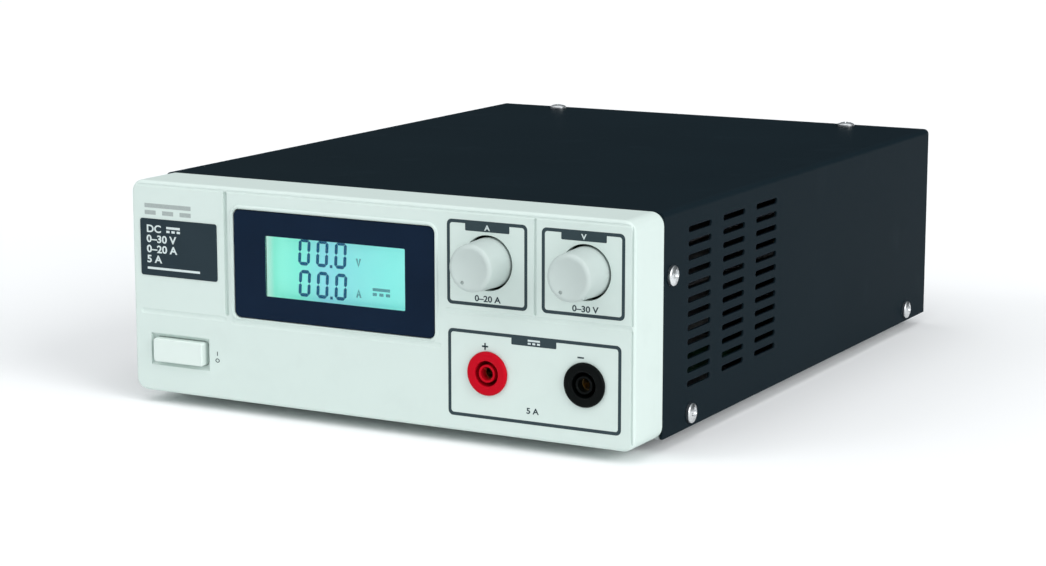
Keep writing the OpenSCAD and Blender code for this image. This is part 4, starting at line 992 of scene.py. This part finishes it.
fan_x, _, fan_z = middle("fan_frame")
fan_front = limits("fan_frame")[0].y
panel_back = limits("rear_panel")[1].y
wire_dia, ring_step, ring_count, screw_reach = 1.6, 7.0, 4, 25.0
first_ring = extent("fan_frame").x / 2 - 1 - ring_step * (ring_count - 1)
plan = Plan("fan_guard_wires", {"Rings": ring_count, "First ring": first_ring * MM,
                                "Ring step": ring_step * MM, "Wire": wire_dia * MM,
                                "Screw reach": screw_reach * MM, "Eye": 3.1 * MM, "Ring lift": 1.2 * MM})
index = plan.node("GeometryNodeInputIndex", {}, {})
ring_r = plan.given("First ring") + plan.given("Ring step") * index
circle = plan.node("GeometryNodeCurvePrimitiveCircle", {}, {"Resolution": 96, "Radius": 1})
lift = plan.point(0, 0, plan.given("Ring lift"))
ring_points = plan.node("GeometryNodePoints", {}, {"Count": plan.given("Rings"), "Position": lift})
rings = plan.copies(ring_points, circle, Scale=plan.point(ring_r, ring_r, 1))
corner = plan.given("Screw reach")
side_x = 1 - 2 * (index.math("MODULO", index, 2))
side_z = 1 - 2 * (index.math("FLOOR", index / 2))
eye_place = plan.point(side_x * corner, side_z * corner, 0)
eye_points = plan.node("GeometryNodePoints", {}, {"Count": 4, "Position": eye_place})
eye = plan.node("GeometryNodeCurvePrimitiveCircle", {}, {"Resolution": 32, "Radius": plan.given("Eye")})
eyes = plan.copies(eye_points, eye)
spoke = plan.node("GeometryNodeCurvePrimitiveLine", {}, {
    "Start": plan.point(plan.given("First ring") - 0.3 * plan.given("Wire"), 0, 0),
    "End": plan.point(corner * 1.4142 - plan.given("Eye"), 0, 0)})
spokes = plan.copies(plan.node("GeometryNodePoints", {}, {"Count": 4}), spoke,
                     Rotation=plan.point(0, 0, pi / 4 + index * (pi / 2)))
paths = plan.node("GeometryNodeRealizeInstances", {}, {0: plan.join(rings, eyes, spokes)})
wire = plan.node("GeometryNodeCurvePrimitiveCircle", {}, {"Resolution": 12,
                                                          "Radius": plan.given("Wire") * 0.5})
wires = plan.node("GeometryNodeCurveToMesh", {}, {"Curve": paths, "Profile Curve": wire, "Fill Caps": True})
guard_zinc = bright_zinc("guard_chrome", (0.72, 0.73, 0.74), 0.16)
guard = plan.grow(wires, guard_zinc)
guard.data.transform(Matrix.Translation(at(fan_x, panel_back + wire_dia / 2, fan_z))
                     @ Matrix.Rotation(-pi / 2, 4, "X"))
outward = bmesh.new()
outward.from_mesh(guard.data)
bmesh.ops.recalc_face_normals(outward, faces=outward.faces)
outward.to_mesh(guard.data)
outward.free()
fit(soften(guard, 0, angle=50), guard_zinc, "case", "guard", "fan_guard")

fan_spots = [(at(fan_x + sx * screw_reach, panel_back + wire_dia, fan_z + sz * screw_reach), (0, 1, 0))
             for sx in (-1, 1) for sz in (-1, 1)]
fan_screw_l = panel_back + wire_dia - fan_front + 3
fan_screws = on_spots("fan_screws", pan_head(7.4, 2.4, 3.9, fan_screw_l), zinc, fan_spots)
fit(soften(fan_screws, 0, angle=40), zinc, "case", "fasteners", "fan_fixings")

black_moulding = moulded_plastic("black_moulding", (0.016, 0.017, 0.019), 0.5, 0.5, 0.012, 0.3)
coat(black_moulding, "fan_frame", "power_switch", "display_frame")
rotor_low, rotor_high = limits("fan_rotor")
blade_start, blade_end = rotor_low.y + 4.0, rotor_high.y - 0.5
hub_r, axle_r, blade_r, blade_count = 15.0, 1.5, extent("fan_rotor").x / 2, 7
hub_back, hub_start = rotor_high.y, rotor_low.y + 3.6
hub_section = [(hub_back, 0), (hub_back, hub_r - 1.6), (hub_back - 0.15, hub_r - 1.0),
               (hub_back - 0.5, hub_r - 0.45), (hub_back - 1.1, hub_r - 0.1), (hub_back - 1.8, hub_r),
               (hub_start, hub_r), (hub_start, axle_r), (rotor_low.y + 0.1, axle_r), (rotor_low.y, 0)]
hub = solid("hub", turned_rings(fan_x, fan_z, hub_section, 64))
blade_rings, blade_steps = [], 6
for k in range(blade_steps + 1):
    r = hub_r - 0.8 + (blade_r - hub_r + 0.8) * k / blade_steps
    pitch = radians(52 - 16 * k / blade_steps)
    room = (blade_end - blade_start) / sin(pitch)
    chord = min(min(17.0, room) + 1.6 * k / blade_steps, room - 0.6)
    thick = 1.7 - 0.7 * k / blade_steps
    ring = []
    for j in range(16):
        turn = tau * j / 16
        u, v = chord / 2 * cos(turn), thick / 2 * sin(turn) + 1.2 * (1 - cos(turn) ** 2)
        round_axis, along = (u * cos(pitch) - v * sin(pitch)) / r, u * sin(pitch) + v * cos(pitch)
        ring.append(Vector((r * sin(round_axis), along, r * cos(round_axis))) * MM)
    blade_rings.append(ring)
blade = solid("blade", blade_rings)
plan = Plan("blades", {"Blades": blade_count})
copy = plan.node("GeometryNodeObjectInfo", {}, {"Object": blade}, "Geometry")
index = plan.node("GeometryNodeInputIndex", {}, {})
count = plan.given("Blades")
blades = plan.grow(plan.copies(plan.node("GeometryNodePoints", {}, {"Count": count}), copy,
                               Rotation=plan.point(0, index * tau / count, 0)), black_moulding)
bpy.data.objects.remove(blade)
blades.data.transform(Matrix.Translation(at(fan_x, (blade_start + blade_end) / 2, fan_z)))
fit(soften(joined("fan_wheel", [hub, blades]), 0, angle=40), black_moulding,
    "fan_rotor", "black_moulding", "fan_rotor")

# ---- Mains inlet ----
# A black thermoplastic appliance inlet with two screws. Its shrouded opening has two corners cut
# off and holds three flat pins, and a fuse drawer with a finger lip slides in below it.


def worked_copy(node, width, name, segments=2):
    """A CAD node's own shape with its loose triangles merged and its sharp edges rounded."""
    shape = bmesh.new()
    shape.from_mesh(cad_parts[node].data)
    bmesh.ops.remove_doubles(shape, verts=shape.verts, dist=0.004 * MM)
    bmesh.ops.dissolve_limit(shape, angle_limit=radians(1), verts=shape.verts, edges=shape.edges)
    piece = piece_of(name, shape)
    step = piece.modifiers.new("edge", "BEVEL")
    step.width = width * MM
    step.segments = segments
    step.limit_method = "ANGLE"
    step.angle_limit = radians(40)
    step.use_clamp_overlap = True
    plain(piece)
    return soften(piece, 0, angle=45)


inlet_black = moulded_plastic("inlet_black", (0.012, 0.013, 0.015), 0.42, 0.6, 0.010, 0.35)
fit(worked_copy("mains_inlet", 0.35, "inlet_housing"), inlet_black, "case", "inlet_plastic", "mains_inlet")
fit(worked_copy("inlet_pins", 0.3, "inlet_blades"), brass, "case", "brass", "inlet_pins")
fit(worked_copy("fuse_drawer", 0.25, "drawer_tray"), inlet_black,
    "fuse_drawer", "inlet_plastic", "fuse_drawer")
inlet_x, _, inlet_z = middle("inlet_screws")
inlet_front = limits("mains_inlet")[1].y
inlet_spots = [(at(inlet_x + s * 20, inlet_front, inlet_z), (0, 1, 0)) for s in (-1, 1)]
fit(soften(on_spots("inlet_screws_cross", pan_head(5.8, 1.8, 3, 9), zinc, inlet_spots), 0, angle=40), zinc,
    "case", "fasteners", "inlet_screws")
fuse_glass = Finish("fuse_glass")
haze = fuse_glass.noise(2, 3)
coat(fuse_glass.surface(Base_Color=fuse_glass.mix(haze, (0.55, 0.58, 0.60, 1), (0.70, 0.73, 0.75, 1)),
                        Roughness=0.1 + 0.1 * haze, Metallic=0.4 + 0.3 * haze), "mains_fuse")

# ---- Main terminals ----
# Two brass screw terminals with moulded caps, red and black. Each cap has twelve flutes for the
# fingers and a brass thread inside, and its stud has a 4 mm bore and a cross hole for wire.

terminal_z = middle("terminal_bases").z
terminals = [middle("positive_cap").x, middle("negative_cap").x]
cap_start, cap_end = limits("positive_cap")[0].y, limits("positive_cap")[1].y
cap_r = extent("positive_cap").x / 2
insert_start, insert_end = limits("positive_insert")[0].y, limits("positive_insert")[1].y
cap_bore_r, insert_r, insert_gap = 4.0, 5.55, 0.05
cap_section = [(cap_start, cap_bore_r), (cap_start, cap_r - 0.4), (cap_start + 0.4, cap_r),
               (cap_start + 2.8, cap_r), (cap_start + 3.2, cap_r - 0.25), (cap_end - 1.6, cap_r - 0.25),
               (cap_end - 0.8, cap_r - 0.5), (cap_end - 0.2, cap_r - 1.1), (cap_end, cap_r - 1.9),
               (cap_end, cap_bore_r + 0.4), (cap_end - 0.4, cap_bore_r),
               (insert_end + insert_gap, cap_bore_r), (insert_end + insert_gap, insert_r),
               (insert_start - insert_gap, insert_r),
               (insert_start - insert_gap, cap_bore_r)]
for (name, _, colour, slot), x in zip(poles, terminals):
    cap = solid(f"{name}_grip", turned_rings(x, terminal_z, cap_section, 96), closed=True)
    plan = Plan("flutes", {"Flutes": 12, "Circle": (cap_r + 0.4) * MM, "Flute": 1.2 * MM,
                           "Length": (cap_end - cap_start - 3) * MM})
    ring = plan.node("GeometryNodeMeshCircle", {}, {"Vertices": plan.given("Flutes"),
                                                    "Radius": plan.given("Circle")})
    bar = plan.node("GeometryNodeMeshCylinder", {}, {"Vertices": 24, "Radius": plan.given("Flute"),
                                                     "Depth": plan.given("Length")})
    flutes = plan.grow(plan.copies(ring, bar), colour)
    flutes.data.transform(Matrix.Translation(at(x, (cap_start + cap_end + 5) / 2, terminal_z))
                          @ Matrix.Rotation(pi / 2, 4, "X"))
    combine(cap, "DIFFERENCE", [flutes])
    fit(soften(cap, 0, angle=35), colour, f"{name}_cap", slot, f"{name}_cap")
    coat(brass, f"{name}_insert")
fit(worked_copy("terminal_bases", 0.4, "terminal_collars"), socket_black,
    "case", "black_plastic", "terminal_bases")
fit(worked_copy("terminal_studs", 0.2, "terminal_posts"), brass, "case", "brass", "terminal_studs")
rear_signs = [box_outline(terminals[0] - 1.6, terminal_z + 13.2, 3.2, 0.8),
              box_outline(terminals[0] - 0.4, terminal_z + 12.0, 0.8, 3.2),
              box_outline(terminals[1] - 1.6, terminal_z + 13.2, 3.2, 0.8)]
fit(joined("rear_print", [flat_outline("signs", rear_signs, panel_back)]), dark_ink, "case", "label")

# ---- Electronics ----
# A green glass-fibre main board on six pillars carries two extruded heat sinks with the power
# transistors, the transformer, the chokes and the capacitors. Wires and a ribbon join the rest.


def solder_mask(name):
    """Green lacquer over copper: tracks stand out a little lighter, with pale marks between."""
    finish = Finish(name)
    tracks = finish.node("ShaderNodeTexBrick", {"offset": 0.35, "squash": 0.7}, {
        "Vector": finish.place(), "Scale": 90, "Mortar Size": 0.03, "Color1": (0.002, 0.030, 0.011, 1),
        "Color2": (0.003, 0.042, 0.016, 1), "Mortar": (0.0015, 0.020, 0.008, 1)}, "Color")
    legend = finish.mask(finish.noise(1.5, 4), 0.66, 0.70)
    return finish.surface(Base_Color=finish.mix(legend * 0.4, tracks, (0.55, 0.6, 0.55, 1)),
                          Roughness=0.35 + 0.1 * finish.noise(4),
                          Normal=finish.bump(finish.noise(0.8), 0.02))


def extruded_aluminium(name):
    finish = Finish(name)
    draw = finish.noise(0.35, 3, (1, 0.02, 1))
    return finish.surface(Base_Color=finish.mix(draw, (0.42, 0.43, 0.44, 1), (0.58, 0.59, 0.60, 1)),
                          Metallic=1.0, Roughness=0.32 + 0.15 * draw, Normal=finish.bump(draw, 0.008))


def fired_ferrite(name):
    finish = Finish(name)
    grain = finish.noise(0.7, 4)
    return finish.surface(Base_Color=finish.mix(grain, (0.014, 0.015, 0.017, 1), (0.035, 0.037, 0.04, 1)),
                          Roughness=0.6 + 0.15 * grain, Metallic=0.2 * grain,
                          Normal=finish.bump(grain, 0.02))


def banded(name, direction, scale, waver, dark, light, rough, rough_step, depth, metallic=0.0):
    """Bands side by side, such as laps of tape, turns of wire or the cores of a ribbon."""
    finish = Finish(name)
    bands = finish.node("ShaderNodeTexWave", {"bands_direction": direction},
                        {"Vector": finish.place(), "Scale": scale, "Distortion": waver}, "Fac")
    return finish.surface(Base_Color=finish.mix(bands, (*dark, 1), (*light, 1)), Metallic=metallic,
                          Roughness=rough + rough_step * bands, Normal=finish.bump(bands, depth))


def shrink_sleeve(name):
    finish = Finish(name)
    stripe = finish.mask(finish.noise(9, 1, (1, 1, 0.1)), 0.56, 0.6)
    wrinkle = finish.noise(3, 4, (1, 1, 0.3))
    return finish.surface(Base_Color=finish.mix(stripe, (0.008, 0.016, 0.06, 1), (0.25, 0.28, 0.33, 1)),
                          Roughness=0.26 + 0.1 * wrinkle, Normal=finish.bump(wrinkle, 0.03))


def wire_insulation(name, colour):
    finish = Finish(name)
    dust = finish.noise(3, 4)
    return finish.surface(Base_Color=finish.mix(dust, shade_of(colour, 0.85), shade_of(colour, 1.12)),
                          Roughness=0.42 + 0.12 * dust, Normal=finish.bump(finish.noise(0.6), 0.01))


coat(solder_mask("solder_mask"), "main_board", "control_board")
coat(extruded_aluminium("heat_sink_aluminium"), "heat_sinks")
coat(fired_ferrite("ferrite"), "transformer_core")
coat(banded("winding_tape", "Z", 60, 0.6, (0.50, 0.36, 0.03), (0.66, 0.50, 0.06), 0.28, 0.08, 0.04),
     "transformer_winding")
coat(shrink_sleeve("capacitor_sleeve"), "capacitors")
coat(banded("choke_wire", "DIAGONAL", 160, 1.2, (0.18, 0.06, 0.018), (0.62, 0.28, 0.10), 0.28, 0.12, 0.12,
            0.8), "chokes")
coat(moulded_plastic("moulded_epoxy", (0.014, 0.014, 0.016), 0.55, 0.8, 0.02, 0.25),
     "power_transistors", "bridge_rectifier")
coat(wire_insulation("red_lead", (0.38, 0.02, 0.015)), "output_leads", "aux_leads")
coat(wire_insulation("brown_lead", (0.11, 0.045, 0.02)), "mains_leads")
coat(banded("ribbon_grey", "X", 250, 0, (0.20, 0.22, 0.24), (0.42, 0.45, 0.48), 0.45, 0.1, 0.15),
     "ribbon_cable")
coat(turned_metal("pot_metal", (0.55, 0.56, 0.57), 0.3),
     "current_pot", "voltage_pot", "current_shaft", "voltage_shaft")
coat(moulded_plastic("natural_nylon", (0.66, 0.65, 0.58), 0.4, 1.0, 0.01), "power_rod")
coat(moulded_plastic("milky_guide", (0.72, 0.78, 0.76), 0.25, 2.0, 0.005), "display_backlight")
